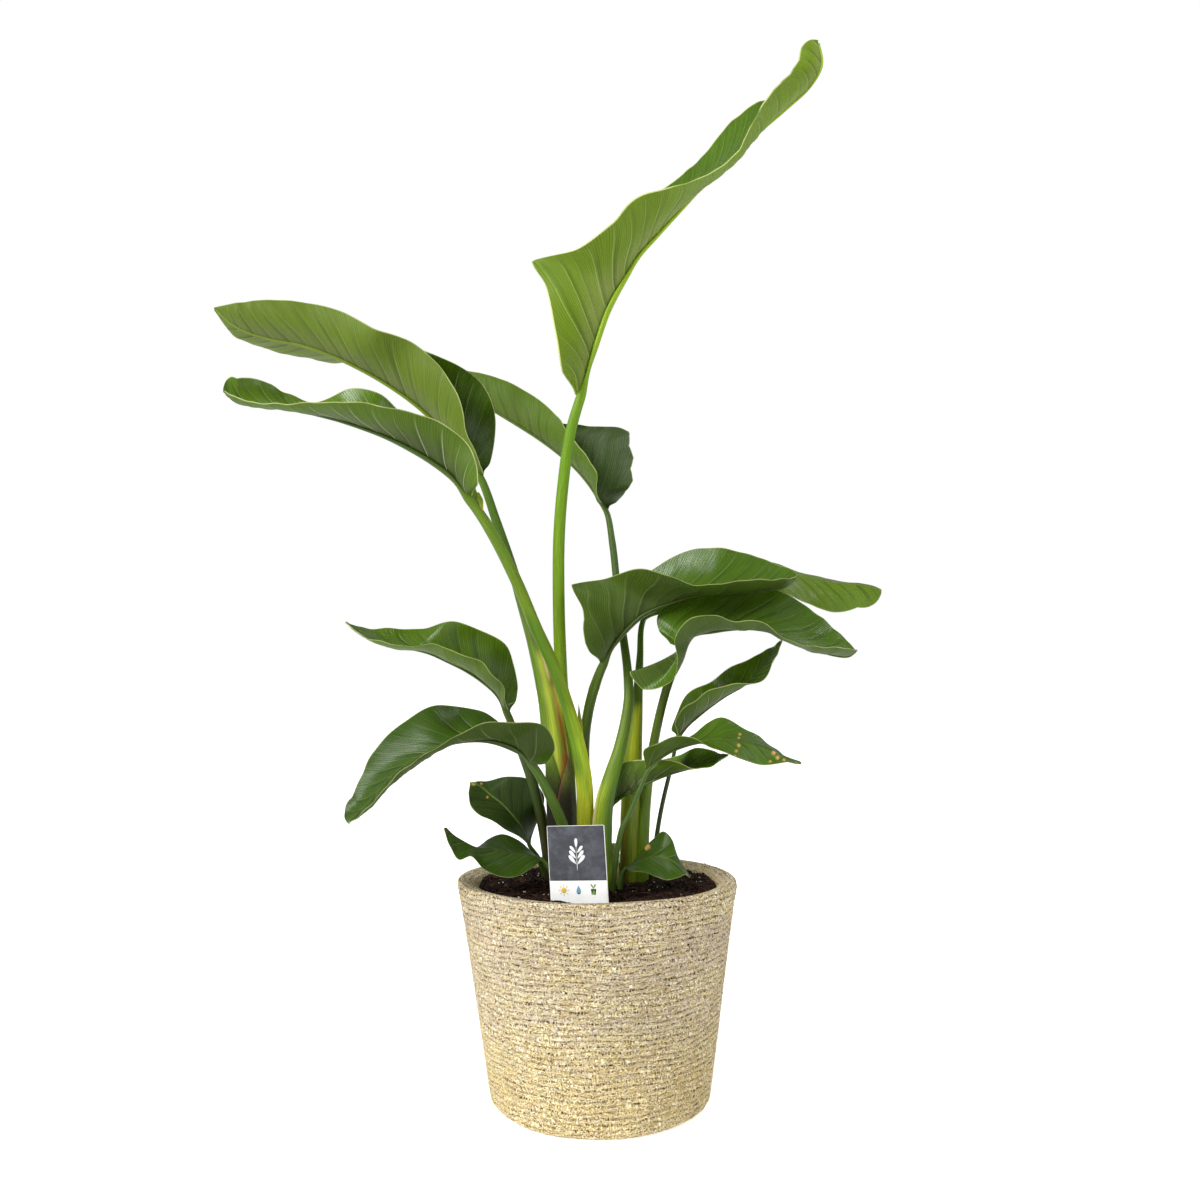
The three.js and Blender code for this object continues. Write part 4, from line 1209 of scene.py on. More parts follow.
LEAVES = (
    Leaf(
        "leaf_top", Tone.YOUNG, 54, 0.1,
        stalk=(
            (-26, -252, 9, 8.2, 6), (-26, -228, 9, 8.4, 6), (-26.6, -184, 9, 8.9, 6),
            (-28, -125, 9, 7.2, 5.6), (-31, -64, 8, 5.2), (-33, -10, 5, 5), (-33, 48, 3, 4.9),
            (-30, 90, 2, 4.8), (-24, 133, 1, 4.7),
        ),
        blade=(
            (-16, 161, 0, -20, 164, -15, 166), (-10, 178, 1, -30, 184, -20, 194),
            (-2, 200, 3, -35, 210, -24, 222), (7, 227, 5, -44, 252, -22, 250),
            (14, 242, 7, -52, 269, -12, 268), (22, 256, 9, -18, 281, 0, 284),
            (32, 273, 11, 9, 301, 13, 298), (46, 289, 13, 29, 322, 34, 318),
            (66, 311, 16, 57, 330, 62, 337), (88, 335, 20, 85, 340, 82, 355),
            (108, 354, 23, 107, 355, 101, 378), (128, 373, 26, 119, 376, 122, 396),
            (150, 392, 28, 135, 404, 140, 403), (169, 410, 30, 151, 420, 157, 418),
            (178.4, 428, 31, 158.5, 431, 166, 431), (175, 448.5, 32, 174.5, 448.5, 175.5, 448.5),
        ),
        foot="#8fb81e", neck="#5e8c10",
        flushes=(
            Flush("#4c7810", -60, 140, (-85, -85), 34, 0.7),
            Flush("#4c7a14", -60, 140, (88, 88), 22, 0.8),
            # Dark olive on the foot's front: partly its own tone, partly painted shade among the stems; below
            # it, near-black painted shade low down.
            Flush("#525c1e", -190, -132, (10, 10), 95, 1.0),
            Flush("#2a3108", -190, -158, (10, 10), 95, 0.9),
            Flush("#8f8a5a", -134, -124, (30, 50), 50, 0.6, 6),
        ),
        cusps=((1, 4.02, 3.2, 0.22), (1, 0.9, 2.4, 0.4), (0, 10.2, 0.9, 0.35)),
        round_tip=True, pleat=15.5, relief=1.3, slant=0.85, ripple=0.3, billow=0.45, seed=11,
    ),
    Leaf(
        "leaf_upper_left", Tone.LIGHT, 45, 0.12,
        stalk=(
            (-29, -256, -7, 8, 6.5), (-29, -234, -7, 8, 6.5), (-31, -184, -7, 8.5, 6.5),
            (-33.2, -140, -6, 9.8, 6.5), (-37.5, -100, -4, 9.8, 6), (-42.5, -72, 0, 8.2, 5.6),
            (-53, -32, 7, 5.8, 5), (-62, -2, 13, 4.8), (-70, 26, 19, 4.3), (-82, 61, 25, 4.1),
        ),
        blade=(
            (-95, 97, 30, -93, 101, -93, 99), (-103, 108, 30, -98, 113, -88, 110),
            (-115, 122, 30, -107, 137, -84, 128), (-131, 139, 29, -111, 157, -85, 154),
            (-150, 156, 28, -126, 184, -97, 176), (-173, 172, 26, -150, 206, -134, 197),
            (-196, 185, 24, -180, 217, -170, 204), (-217, 195, 22, -207, 231, -209, 192),
            (-240, 203, 20, -236, 238, -237, 195), (-265, 208, 18, -265, 240, -264, 201),
            (-290, 217, 16, -288, 238, -290, 210), (-309, 233, 15, -309, 234, -309, 232),
        ),
        foot="#6f7a2a", neck="#4a701c",
        flushes=(
            Flush("#58801a", -140, -40, (-62, -62), 58, 0.9),
            Flush("#a8c244", -135, -50, (-6, 8), 30, 0.85),
            Flush("#d6e03a", -126, -74, (96, 82), 26, 1.0, 9),
            Flush("#b98a56", -96, -60, (52, 50), 9, 0.75, 14),
            Flush("#94502f", -130, -98, (68, 54), 11, 0.9, 14),
            Flush("#e4dcae", -60, -44, (40, 46), 14, 0.85, 7),
            # Darker green low on the left: partly the foot's own green, partly painted shade.
            Flush("#4f6a18", -200, -150, (-55, -55), 60, 0.9),
            # Olive on the right, partly its own tone and partly painted shade; then near-black painted shade
            # low down on the right.
            Flush("#687226", -152, -130, (66, 112), 48, 0.95, 5),
            Flush("#2e370f", -200, -154, (52, 60), 52, 0.95, 8),
            Flush("#8a5424", -178, -128, (-20, 56), 24, 0.85, 6),
        ),
        relief=0.75, seed=23,
    ),
    Leaf(
        "leaf_left", Tone.FULL, 37, 0.12,
        stalk=(
            (-10, -258, -12, 6.5, 5), (-10, -237, -12, 6.5, 5), (-11.5, -180, -13, 6.8, 5),
            (-12.5, -146, -15, 6.6, 5), (-17, -118, -17, 6, 5), (-26, -84, -19, 5.2),
            (-38, -50, -22, 5), (-51, -22, -26, 5), (-66, 14, -32, 4.8), (-88, 57, -40, 4.6),
        ),
        blade=(
            (-104, 80, -45, -102, 82, -102, 80), (-112, 88, -46, -98, 94, -96, 76),
            (-122, 98, -47, -99, 110, -107, 108), (-138, 110, -48, -108, 127, -118, 125),
            (-155, 120, -50, -127, 142, -138, 140), (-173, 129, -52, -151, 150, -160, 151),
            (-191, 136, -54, -175, 155, -178, 166), (-209, 142, -56, -201, 159, -202, 168),
            (-228, 147, -58, -224, 158, -229, 158), (-250, 152, -60, -250, 157, -252, 166),
            (-272, 154, -62, -273, 158, -271, 176), (-290, 157, -64, -290, 161, -290, 177),
            (-301, 166, -65, -301, 165, -300, 168),
        ),
        foot="#c2d634", neck="#54780e",
        flushes=(
            Flush("#48740c", -130, -20, (-40, -20), 80, 0.95, 22),
            Flush("#86ae22", -150, -100, (20, 30), 50, 0.75, 20),
            Flush("#c2d636", -190, -96, (66, 88), 30, 1.0),
            Flush("#dfe08a", -110, -92, (74, 84), 12, 0.7, 6),
        ),
        slivers=(
            Sliver(
                (
                    (-14.4, -120, -13, 2.6), (-15.2, -112, -13, 2.3), (-15.8, -100, -12.5, 1.9),
                    (-16.6, -91, -12.5, 1.1), (-17, -83, -13, 0.15),
                ),
                "#9dbb30", "#5c7d18",
            ),
            Sliver(
                ((-98, 86, -44, 1.5), (-96, 80, -45, 2.6), (-94.5, 74, -46, 1.2), (-93.5, 71, -46, 0.2)),
                "#6f8a24", "#8a7a3a",
            ),
        ),
        cusps=((0, 7.0, 0.8, 0.3), (1, 0.9, 1.5, 0.25)),
        round_tip=True, pleat=14.0, relief=0.75, seed=31,
    ),
    Leaf(
        "leaf_back", Tone.BACK, 36, 0.1,
        stalk=(
            (3, -260, -20, 7, 5.5), (3, -238, -20, 7, 5.5), (1.5, -184, -20, 8, 5.5),
            (4, -160, -20, 7, 5.5), (9.5, -140, -18, 6, 5), (15.5, -120, -14, 5, 4.6),
            (20, -100, -8, 4.4), (23, -78, 0, 4), (22, -56, 10, 3.6), (18, -25, 24, 3.3),
            (14, 8, 38, 3.1), (10, 45, 51, 3),
        ),
        blade=(
            (5, 71, 60, 4, 73, 7, 73), (0, 77, 62, -2, 84, 14, 79), (-9, 91, 65, -3, 101, 24, 91),
            (-21, 105, 70, -10, 114, 26, 111), (-35, 117, 76, -20, 127, 20, 136),
            (-50, 128, 83, -33, 145, -4, 139), (-67, 139, 90, -50, 161, -34, 142),
            (-88, 152, 98, -77, 176, -70, 157), (-112, 168, 106, -104, 183, -100, 172),
            (-140, 186, 112, -140, 187, -140, 185),
        ),
        foot="#6e9024", neck="#40601a",
        flushes=(
            Flush("#90b02a", -210, -158, (-28, -40), 50, 0.7, 18),
            Flush("#4c7a1e", -200, -120, (58, 58), 42, 0.85),
            Flush("#ddd2aa", -185, -150, (-66, -80), 11, 0.95, 4, 0.3),
        ),
        cusps=(
            (0, 2.25, 1.6, 0.12), (0, 2.7, -2.2, 0.14), (0, 3.1, 1.6, 0.12), (0, 3.45, -2.0, 0.14),
            (0, 3.85, 2.6, 0.1), (0, 4.4, -1.2, 0.25), (0, 1.7, -1.4, 0.18),
        ),
        pleat=14.0, seed=43,
    ),
    Leaf(
        "leaf_right", Tone.DEEP, 48, 0.1,
        stalk=(
            (-9, -246, 17, 4.4), (-9, -225, 17, 4.4), (-11, -170, 17, 4.4), (-12.5, -115, 13, 4.3),
            (-9.5, -90, 7, 4.2), (-4.5, -70, 1, 4.2),
        ),
        blade=(
            (2, -53, -5, 0, -51, 4, -52), (8, -43, -7, -9, -40, 8, -27), (16, -33, -8, -13, -26, 8, -10),
            (25, -23, -9, -14, -8, 12, 3), (35, -14, -10, -20, 11, 18, 10), (47, -8, -11, 4, 17, 28, 16),
            (60, -3, -12, 31, 25, 46, 27), (76, 2, -13, 55, 19, 70, 39), (96, 4, -14, 80, 12, 92, 42),
            (118, 5, -15, 110, 15, 117, 37), (138, 7, -15, 134, 17, 138, 30),
            (151, 11, -15, 150, 17, 153, 24), (158, 19, -15, 157, 19, 158, 20),
        ),
        foot="#3d5418", neck="#456218",
        cusps=((1, 4.0, 3.4, 0.2), (1, 1.4, 1.2, 0.4), (1, 2.6, -0.9, 0.3)),
        relief=0.85, seed=53,
    ),
    Leaf(
        "leaf_right_back", Tone.PALE, 31, -0.06,
        stalk=(
            (23.4, -249, 10, 7.4, 6), (23.4, -227, 10, 7.4, 6), (24.4, -175, 10, 8.2, 6),
            (26, -130, 10, 7.6, 5.4), (28.5, -95, 12, 5.6, 4.6), (30.5, -70, 16, 3.8), (32, -45, 24, 2.8),
        ),
        blade=(
            (34, -18, 34, 35, -18, 33, -16), (44, -1, 38, 52, -10, 45, 3), (66, 15, 42, 76, 0, 66, 19),
            (95, 23, 45, 104, 5, 95, 26), (130, 27, 46, 137, 8, 132, 30), (158, 19, 45, 166, -3, 158, 21),
            (185, 13, 43, 188, -10, 186, 14), (208, 11, 41, 206, -6, 209, 12), (225, 7, 39, 224, 6, 225, 8),
        ),
        foot="#7f9c28", neck="#476c1c",
        flushes=(
            Flush("#b4cb2e", -140, -90, (-10, 20), 46, 0.95, 10),
            Flush("#7f9a2a", -240, -150, (50, 50), 50, 0.8),
            Flush("#6a3f26", -150, -70, (84, 84), 12, 0.9),
            Flush("#b08a48", -240, -175, (-34, -44), 12, 0.45),
            Flush("#b9c04a", -200, -160, (-80, -80), 18, 0.7),
        ),
        round_tip=True, pleat=13.0, relief=0.5, seed=61,
    ),
    Leaf(
        "leaf_right_waved", Tone.DEEP, 46, 0.08,
        stalk=(
            (33.4, -249, 9, 5.4), (33.4, -227, 9, 5.4), (35, -175, 9, 5), (38.6, -140, 9, 4.3),
            (43, -114, 5, 3.8), (48, -90, -2, 3.6), (54, -68, -10, 3.5), (60, -52, -16, 3.4),
        ),
        blade=(
            (65, -39, -21, 24, -57, 56, -35), (67, -36, -23, 36, -71, 47, -24),
            (70, -33, -24, 56, -66, 46, -13), (74, -30, -25, 62, -47, 58, 0),
            (80, -28, -26, 60, -31, 75, 8), (89, -27, -27, 73, -14, 90, 12),
            (102, -25, -28, 92, -12, 106, 14), (118, -24, -29, 109, -18, 122, 14),
            (134, -26, -30, 127, -16, 140, 9), (150, -31, -30, 144, -28, 158, 0),
            (168, -39, -30, 165, -37, 174, -12), (186, -45, -30, 185, -37, 189, -24),
            (199, -46, -30, 199, -39, 200, -35), (206, -41, -30, 206, -40, 206, -42),
        ),
        foot="#6a8a24", neck="#3c5214",
        flushes=(Flush("#587c1c", -240, -120, (0, 0), 70, 0.8),),
        cusps=((1, 0.9, 1.2, 0.25),),
        relief=0.6, seed=71,
    ),
    Leaf(
        "leaf_mid_right", Tone.FULL, 24, 0.1,
        stalk=(
            (41, -248, 12, 2), (41, -227, 12, 2), (46, -184, 10, 1.9), (50, -162, 9, 1.8),
            (56, -137, 7, 1.8),
        ),
        blade=(
            (63, -110, 5, 62, -108, 61, -109), (69, -103, 4, 60, -97, 57, -103),
            (78, -95, 2, 66, -87, 62, -90), (89, -86, 0, 76, -81, 70, -75),
            (102, -77, -2, 89, -71, 87, -66), (114, -70, -4, 107, -67, 104, -54),
            (126, -60, -5, 131, -64, 122, -46), (137, -46, -6, 139, -48, 135, -39),
            (146, -32, -7, 146, -33, 145, -32),
        ),
        foot="#31461a", neck="#2c3f12",
        pleat=12.0, seed=83,
    ),
    Leaf(
        "leaf_spotted", Tone.DEEP, 24, 0.06,
        stalk=(
            (9, -260, -38, 2), (9.5, -240, -38, 2), (17, -184, -38, 2), (23, -172, -38, 2),
            (31, -153, -38, 1.9),
        ),
        blade=(
            (38, -137, -38, 36, -134, 39, -135), (44, -131, -40, 35, -120, 46, -126),
            (56, -123, -43, 46, -115, 58, -116), (68, -118, -46, 60, -108, 74, -107),
            (80, -115, -49, 75, -111, 86, -99), (93, -113, -51, 88, -118, 97, -94),
            (107, -114, -53, 104, -123, 113, -101), (122, -116, -54, 120, -130, 127, -109),
            (137, -121, -55, 137, -132, 140, -119), (149, -127, -55, 149, -130, 150, -127),
            (161, -131, -55, 161, -131.5, 161, -130.5),
        ),
        foot="#40601c", neck="#3f6020",
        marks=(
            (112, -106.5, 1.6), (111, -110, 1.4), (111, -116, 1.8), (109, -120, 1.6), (108, -124, 1.2),
            (139, -122, 2.2), (142, -126, 2.0), (136, -129, 1.5), (147, -128, 1.6),
        ),
        pleat=12.0, seed=97,
    ),
    Leaf(
        "leaf_crossing", Tone.FULL, 20, 0.06,
        stalk=((6, -250, -4, 2.6), (6, -229, -4, 2.6), (5, -190, -4, 2.6)),
        blade=(
            (9, -164, -5, 8, -162, 10, -162), (14, -161, -7, 11, -148, 16, -150),
            (22, -156, -11, 16, -132, 22, -134), (32, -151, -13, 28, -128, 33, -129),
            (44, -145, -15, 46, -128, 50, -128), (57, -140, -19, 60, -129, 64, -124),
            (70, -136, -24, 73, -134, 78, -118), (84, -132, -27, 85, -134, 92, -121),
            (95, -128, -29, 95, -129, 98, -123), (103, -124, -30, 103, -124.5, 103, -123.5),
        ),
        foot="#4a681e", neck="#426420",
        pleat=12.0, seed=101,
    ),
    Leaf(
        "leaf_low_right", Tone.DARK, 24, 0.04,
        stalk=((16, -255, -25, 2.2), (16, -236, -25, 2.2), (16.5, -226, -25, 2.2)),
        blade=(
            (19, -217, -25, 20, -217, 19, -215), (25, -213, -28, 26, -217, 25, -211),
            (33, -209, -31, 35, -218, 32, -203), (42, -207, -34, 45, -221, 42, -191),
            (51, -207, -36, 55, -224, 51, -185), (59, -211, -38, 62, -222, 58, -192),
            (65, -216, -39, 67, -220, 63, -207), (72, -222, -40, 72, -222.5, 72, -221.5),
        ),
        foot="#4a681e", neck="#426420",
        marks=((38.4, -196.8, 2.2), (37, -198.5, 1.6)),
        pleat=12.0, seed=109,
    ),
    Leaf(
        "leaf_mid_left", Tone.MIDDLING, 32, 0.1,
        stalk=(
            (-40, -243, 8, 4.4), (-40, -223, 8, 4.4), (-43, -195, 7, 4.6), (-47, -172, 4, 4.6),
            (-55, -142, -2, 4.1), (-66, -112, -7, 3.6),
        ),
        blade=(
            (-74, -91, -8, -73, -90, -72, -90), (-79, -83, -9, -76, -80, -67, -80),
            (-86, -74, -11, -77, -70, -66, -69), (-96, -65, -13, -86, -59, -69, -51),
            (-108, -57, -16, -95, -49, -76, -35), (-122, -50, -19, -112, -44, -96, -24),
            (-138, -43, -23, -130, -35, -118, -17), (-156, -39, -27, -150, -37, -142, -23),
            (-175, -34, -31, -173, -34, -168, -23), (-191, -28, -34, -190, -28, -188, -22),
            (-204, -18, -37, -204, -18, -204, -18.5),
        ),
        foot="#2c3412", neck="#3c5616",
        flushes=(Flush("#4a3418", -215, -175, (30, 30), 60, 0.4),),
        seed=113,
    ),
    Leaf(
        "leaf_arched_left", Tone.DARK, 36, 0.12,
        stalk=(
            (-18, -262, -31, 4.2), (-18, -240, -31, 4.2), (-22, -205, -33, 4.2), (-30, -179, -38, 4.2),
            (-41, -154, -46, 4),
        ),
        blade=(
            (-54, -132, -55, -52, -131, -55, -130), (-60, -127, -57, -42, -130, -57, -121),
            (-70, -121, -60, -36, -117, -66, -107), (-83, -116, -63, -44, -101, -78, -100),
            (-97, -114, -66, -66, -98, -94, -89), (-113, -115, -69, -88, -98, -112, -86),
            (-129, -119, -72, -110, -105, -133, -84), (-146, -128, -75, -130, -118, -157, -98),
            (-161, -138, -78, -150, -130, -178, -117), (-175, -152, -81, -168, -145, -190, -138),
            (-188, -167, -84, -184, -165, -198, -158), (-201, -179, -86, -200, -179, -202, -178),
        ),
        foot="#527420", neck="#436418",
        round_tip=True, pleat=14.0, relief=0.6, seed=127,
    ),
    Leaf(
        "leaf_low_back", Tone.BACK, 26, 0.06,
        stalk=((-44, -242, 19, 2.2), (-44, -222, 19, 2.2), (-49, -207, 18, 2.1)),
        blade=(
            (-56, -197, 14, -57, -196, -55, -196), (-59, -191, 15, -64, -189, -53, -185),
            (-64, -182, 17, -76, -183, -47, -170), (-71, -172, 19, -88, -176, -45, -156),
            (-79, -163, 21, -98, -171, -55, -144), (-88, -156, 23, -104, -163, -72, -141),
            (-96, -150, 24, -105, -155, -88, -144), (-104, -146, 25, -104, -147, -103, -146),
        ),
        foot="#36501a", neck="#42601e",
        marks=((-101, -146.5, 2.4), (-95, -147, 1.2), (-90, -157.5, 1.2)),
        pleat=13.0, seed=131,
    ),
    Leaf(
        "leaf_low_left", Tone.DARK, 23, 0.04,
        stalk=((-33, -256, -35, 2.2), (-33, -238, -35, 2.2), (-37, -222, -37, 2.2)),
        blade=(
            (-45, -209, -38, -46, -210, -46, -208), (-52, -206, -40, -54, -214, -53, -203),
            (-62, -204, -43, -66, -221, -64, -193), (-75, -203, -46, -80, -221, -77, -187),
            (-88, -201, -48, -92, -216, -89, -191), (-100, -199, -50, -103, -206, -100, -199),
            (-110, -194, -51, -113, -207, -108, -197), (-118, -189, -52, -120, -197, -117, -191),
            (-125, -182, -53, -125, -183, -124, -182),
        ),
        foot="#40601c", neck="#42641e",
        pleat=12.0, seed=137,
    ),
)


@dataclass
class Foliage:
    """All the leaves and the finishes that they share."""

    leaves: tuple[Leaf, ...] = LEAVES

    def build(self) -> None:
        """Makes each leaf in place of its solid."""
        blades = {tone: tone.value.material() for tone in Tone}
        stalk = StalkFinish().material()
        for leaf in self.leaves:
            leaf.build(blades[leaf.tone], stalk)


@dataclass(frozen=True)
class Strip:
    """A curved strip of an old sheath.

    steps have the middle's across, up and deep, the radius that it curves with across and along the
    line of sight, and its half angle. facing is the way that its back faces, in degrees, where -90 is
    the front. Its colour goes from low to high, and to margin at its left edge.
    """

    steps: tuple[Row, ...]
    facing: float
    low: str
    high: str
    margin: str
    thick: float = 1.0

    def surface(self, fray: float, seed: int) -> Surface:
        """The strip.

        Its height goes smoothly through the steps. Across, it is an arc of an ellipse, thinner to its
        edges, with lengthwise ribs, and its upper end is uneven.

        Args:
            fray: How uneven the upper end is, in millimetres.
            seed: Picks the unevenness.

        Returns:
            The closed strip.
        """
        table = np.array(self.steps, float)
        at = np.linspace(0, len(table) - 1, 60)
        middle = smooth_line(GLASS.place(*table[:, :3].T), at)
        wide, deep, half = (np.interp(at, np.arange(len(table)), table[:, i])[:, None] for i in (3, 4, 5))
        share = np.linspace(-1, 1, 31)
        turn = np.radians(self.facing + share[None] * half)
        ribs = 0.1 * np.cos(share * 38)
        uneven = fray * wander(share * 10, (3.1, 5.3, 8.7), seed) * ease(0.75, 1, at / at[-1])[:, None]
        sides = []
        for grow in (1.0, 0.0):
            body = grow * self.thick * np.sqrt(1 - 0.92 * share**2) + ribs
            x, y = np.cos(turn) * (wide + body), np.sin(turn) * (deep + body)
            side = middle[:, None] + np.stack([x, y, np.zeros(x.shape)], -1)
            side[..., 2] += uneven
            sides.append(side)
        low, high, margin = (rgb(colour) for colour in (self.low, self.high, self.margin))
        rise = ease(0.5, 0.9, at / at[-1])[:, None, None]
        edge = np.exp(-(((1 + share) / 0.07) ** 2))[None, :, None]
        colour = (low * (1 - rise) + high * rise) * (1 - edge) + margin * edge
        fibre = np.stack(np.broadcast_arrays(share * wide, middle[:, 2:], 0.0), -1)
        rings, fibre, flesh = (
            np.concatenate([back, inside[:, ::-1]], 1)
            for back, inside in (sides, (fibre, fibre), (colour, colour))
        )
        return skin(rings, fibre=fibre, flesh=flesh)


@dataclass
class OldSheath:
    """What is left of a fallen leaf: one strip or more round the foot of another."""

    name: str
    strips: tuple[Strip, ...]
    finish: DrySheathFinish
    fray: float = 1.2
    seed: int = 5

    def build(self) -> None:
        """Makes its strips as one piece, in place of its solid."""
        surfaces = [strip.surface(self.fray, self.seed + i) for i, strip in enumerate(self.strips)]
        make_piece(self.name + "_dry", surfaces, [self.finish.material()], (self.name,))


OLD_SHEATHS = (
    OldSheath(
        "old_sheath_left",
        (
            Strip(
                (
                    (-31, -257, -7, 9.2, 7.4, 62), (-31, -236, -7, 9.2, 7.4, 62),
                    (-32, -184, -7, 9.6, 7.4, 60), (-34, -150, -6.5, 9.6, 7.2, 46),
                    (-35.5, -132, -6, 9.7, 7.0, 28), (-36.5, -120, -5.5, 9.6, 6.8, 8),
                ),
                # Near-black at the foot: painted shade down among the stems.
                -112, "#1c1f08", "#64801e", "#64801e", 0.7,
            ),
            Strip(
                (
                    (-31, -257, -7, 10.4, 8.6, 76), (-31, -236, -7, 10.4, 8.6, 76),
                    (-32, -184, -7, 10.6, 8.6, 76), (-33, -160, -6.7, 10.6, 8.4, 74),
                    (-33.8, -148.6, -6.5, 10.5, 8.2, 60), (-34.4, -139, -6.2, 10.5, 8, 43),
                    (-35.2, -126, -6, 10.5, 8, 6),
                ),
                # Near-black at the foot: painted shade down among the stems.
                -20, "#1c1f09", "#78843a", "#8a4638", 0.8,
            ),
        ),
        DrySheathFinish("drying_leaf_foot", "#442a12", 0.3),
    ),
    OldSheath(
        "old_sheath_stub",
        (
            Strip(
                (
                    (12, -254, -12, 2.6, 2.6, 120), (12, -234, -12, 2.6, 2.6, 120),
                    (11.5, -208, -12, 2.6, 2.6, 110), (11, -194, -12, 2.4, 2.4, 50),
                ),
                -80, "#b9c46c", "#c3c77e", "#c9bb94",
            ),
        ),
        DrySheathFinish("cut_leaf_foot", "#a98a5a", 0.5),
    ),
)


# The basket


@dataclass
class Basket:
    """The basket: thin twisted cord coiled row on row, with a rounded rim and a slight lean.

    profile is the outer wall from the foot up, rim goes on over the top and in, and inner goes down
    the inner wall and in over the floor, all as height and radius. lean is how far the axis goes to the
    right up to the top. cord is the height of a row, and bulge how far a row stands out. lying, long
    and loose are how many straws there are of each kind, straws their least and greatest lengths, and
    straw_radius is the radius that these are laid round. All sizes are in millimetres.
    """

    profile: tuple[Row, ...] = ((9, 84.8), (40, 89.2), (73, 94.1), (134, 103.2), (150, 105.8))
    rim: tuple[Row, ...] = (
        (165.3, 108.6), (167.6, 107.9), (168.6, 105.8), (168.3, 102.5), (166.8, 98.0), (164.5, 94.4),
        (160.5, 92.3),
    )
    inner: tuple[Row, ...] = ((130.0, 89.5), (80.0, 84.0), (8.0, 74.3), (8.0, 40.0))
    foot_round: float = 9.0
    lean: float = -2.0
    cord: float = 4.2
    bulge: float = 0.9
    around: int = 252
    rows_fine: int = 5
    lying: int = 8100
    long: int = 150
    loose: int = 130
    straws: tuple[Row, ...] = ((2.8, 7.0), (10, 30), (3, 8))
    straw_radius: float = 97.0
    seed: int = 17

    def outline(self) -> tuple[Array, Array]:
        """The wall's section as radius and height: in under the foot, up the wall, over the rim, and down.

        Returns:
            The points, evenly spaced along the section where the cord shows, and their lengths along it.
        """
        heights, radii = np.array(self.profile).T
        rim = np.array([(radius, 0.0, height) for height, radius in self.rim])
        rim = smooth_line(rim, np.linspace(0, len(rim) - 1, 50))
        turn = np.radians(np.linspace(-90, 0, 12))
        foot_x = radii[0] - self.foot_round + self.foot_round * np.cos(turn)
        foot_z = self.foot_round + self.foot_round * np.sin(turn)
        x = np.concatenate([[12.0], foot_x, radii[1:], rim[:, 0], [91.0]])
        z = np.concatenate([[0.0], foot_z, heights[1:], rim[:, 2], [BASKET_TOP - 24]])
        length = np.concatenate([[0], np.cumsum(np.hypot(np.diff(x), np.diff(z)))])
        even = np.linspace(0, length[-1], int(length[-1] / self.cord * self.rows_fine))
        return np.stack([np.interp(even, length, x), np.interp(even, length, z)], 1), even

    def waver(self, angle: Array, along: Array) -> Array:
        """How far the rows waver, in rows, round the basket and along the section."""
        return 0.22 * np.sin(angle * 5 + along / 23) + 0.14 * np.sin(angle * 11 - along / 9)

    def build(self) -> None:
        """Makes the wall and the loose straws.

        The wall is the section turned about the axis. Each row stands out by the root of 1 - y^2, where
        y goes from -1 to 1 across the row; the rim's rows lie flatter. The rows climb one cord for each
        turn, and waver a little. The inner wall takes the row numbers 60 to 64.
        """
        section, length = self.outline()
        slope = np.gradient(section, axis=0)
        out = unit(np.stack([slope[:, 1], -slope[:, 0]], 1))
        turn = np.arange(self.around) / self.around
        angle, along = 2 * math.pi * turn + math.pi / 2, length[:, None]
        row = along / self.cord - turn[None] + self.waver(angle, along)
        over = 2 * (row - np.floor(row)) - 1
        dents = 0.35 * np.sin(3 * angle + along / 60) + 0.2 * np.sin(7 * angle - along / 31)
        knots = np.sin(angle * 61 + 9 * np.sin(along / 3.1)) + np.sin(angle * 103 + along * 1.9)
        flat = 1 - 0.6 * ease(162, 166, section[:, 1:])
        crest = np.sqrt(np.maximum(0, 1 - over**2)) - 0.75
        stands = self.bulge * flat * crest + dents + 0.2 * knots * flat
        shut = ease(0, 6, along)
        radius = section[:, :1] + out[:, :1] * stands * shut
        height = np.maximum(section[:, 1:] + out[:, 1:] * stands * shut, 0.0)
        inner = self.inside(angle)
        surface = skin(np.concatenate([round_axis(radius, angle, height, self.lean), inner]))
        rows = np.concatenate([row, np.linspace(60, 64, len(inner))[:, None] - turn[None]])
        uv = self.cord_map(rows, turn, len(surface.faces))
        make_piece("coiled_basket", [surface], [StrawFinish().material()], ("basket",), uv)
        self.build_straws(section, out, length)

    def inside(self, angle: Array) -> Array:
        """Rings down the inner wall and in over the floor, which the pot hides.

        Args:
            angle: Where its points lie round the axis, in radians.

        Returns:
            Four rings of points.
        """
        heights, radii = np.array(self.inner).T
        return round_axis(radii[:, None], angle, heights[:, None], self.lean)

    def cord_map(self, rows: Array, turn: Array, faces: int) -> Array:
        """The UV map: the turns round the basket and the row, for each corner of each face.

        Args:
            rows: The row, with its fraction, at each point of the wall.
            turn: The turns round the basket at each point of a ring.
            faces: How many faces the surface has; those that close its ends come last.

        Returns:
            A pair for each corner.
        """
        count, around = rows.shape
        ring, i = np.meshgrid(np.arange(count - 1), np.arange(around), indexing="ij")
        following, seam = (i + 1) % around, i == around - 1
        here = np.stack([turn[i], rows[ring, i]], -1)
        over = np.stack([turn[i], rows[ring + 1, i]], -1)
        step = np.stack([turn[i] + 1 / around, rows[ring, following] - seam], -1)
        both = np.stack([turn[i] + 1 / around, rows[ring + 1, following] - seam], -1)
        quads = np.stack([here, step, both, over], 2).reshape(-1, 4, 2)
        return np.concatenate([quads, np.zeros((faces - len(quads), 4, 2))])

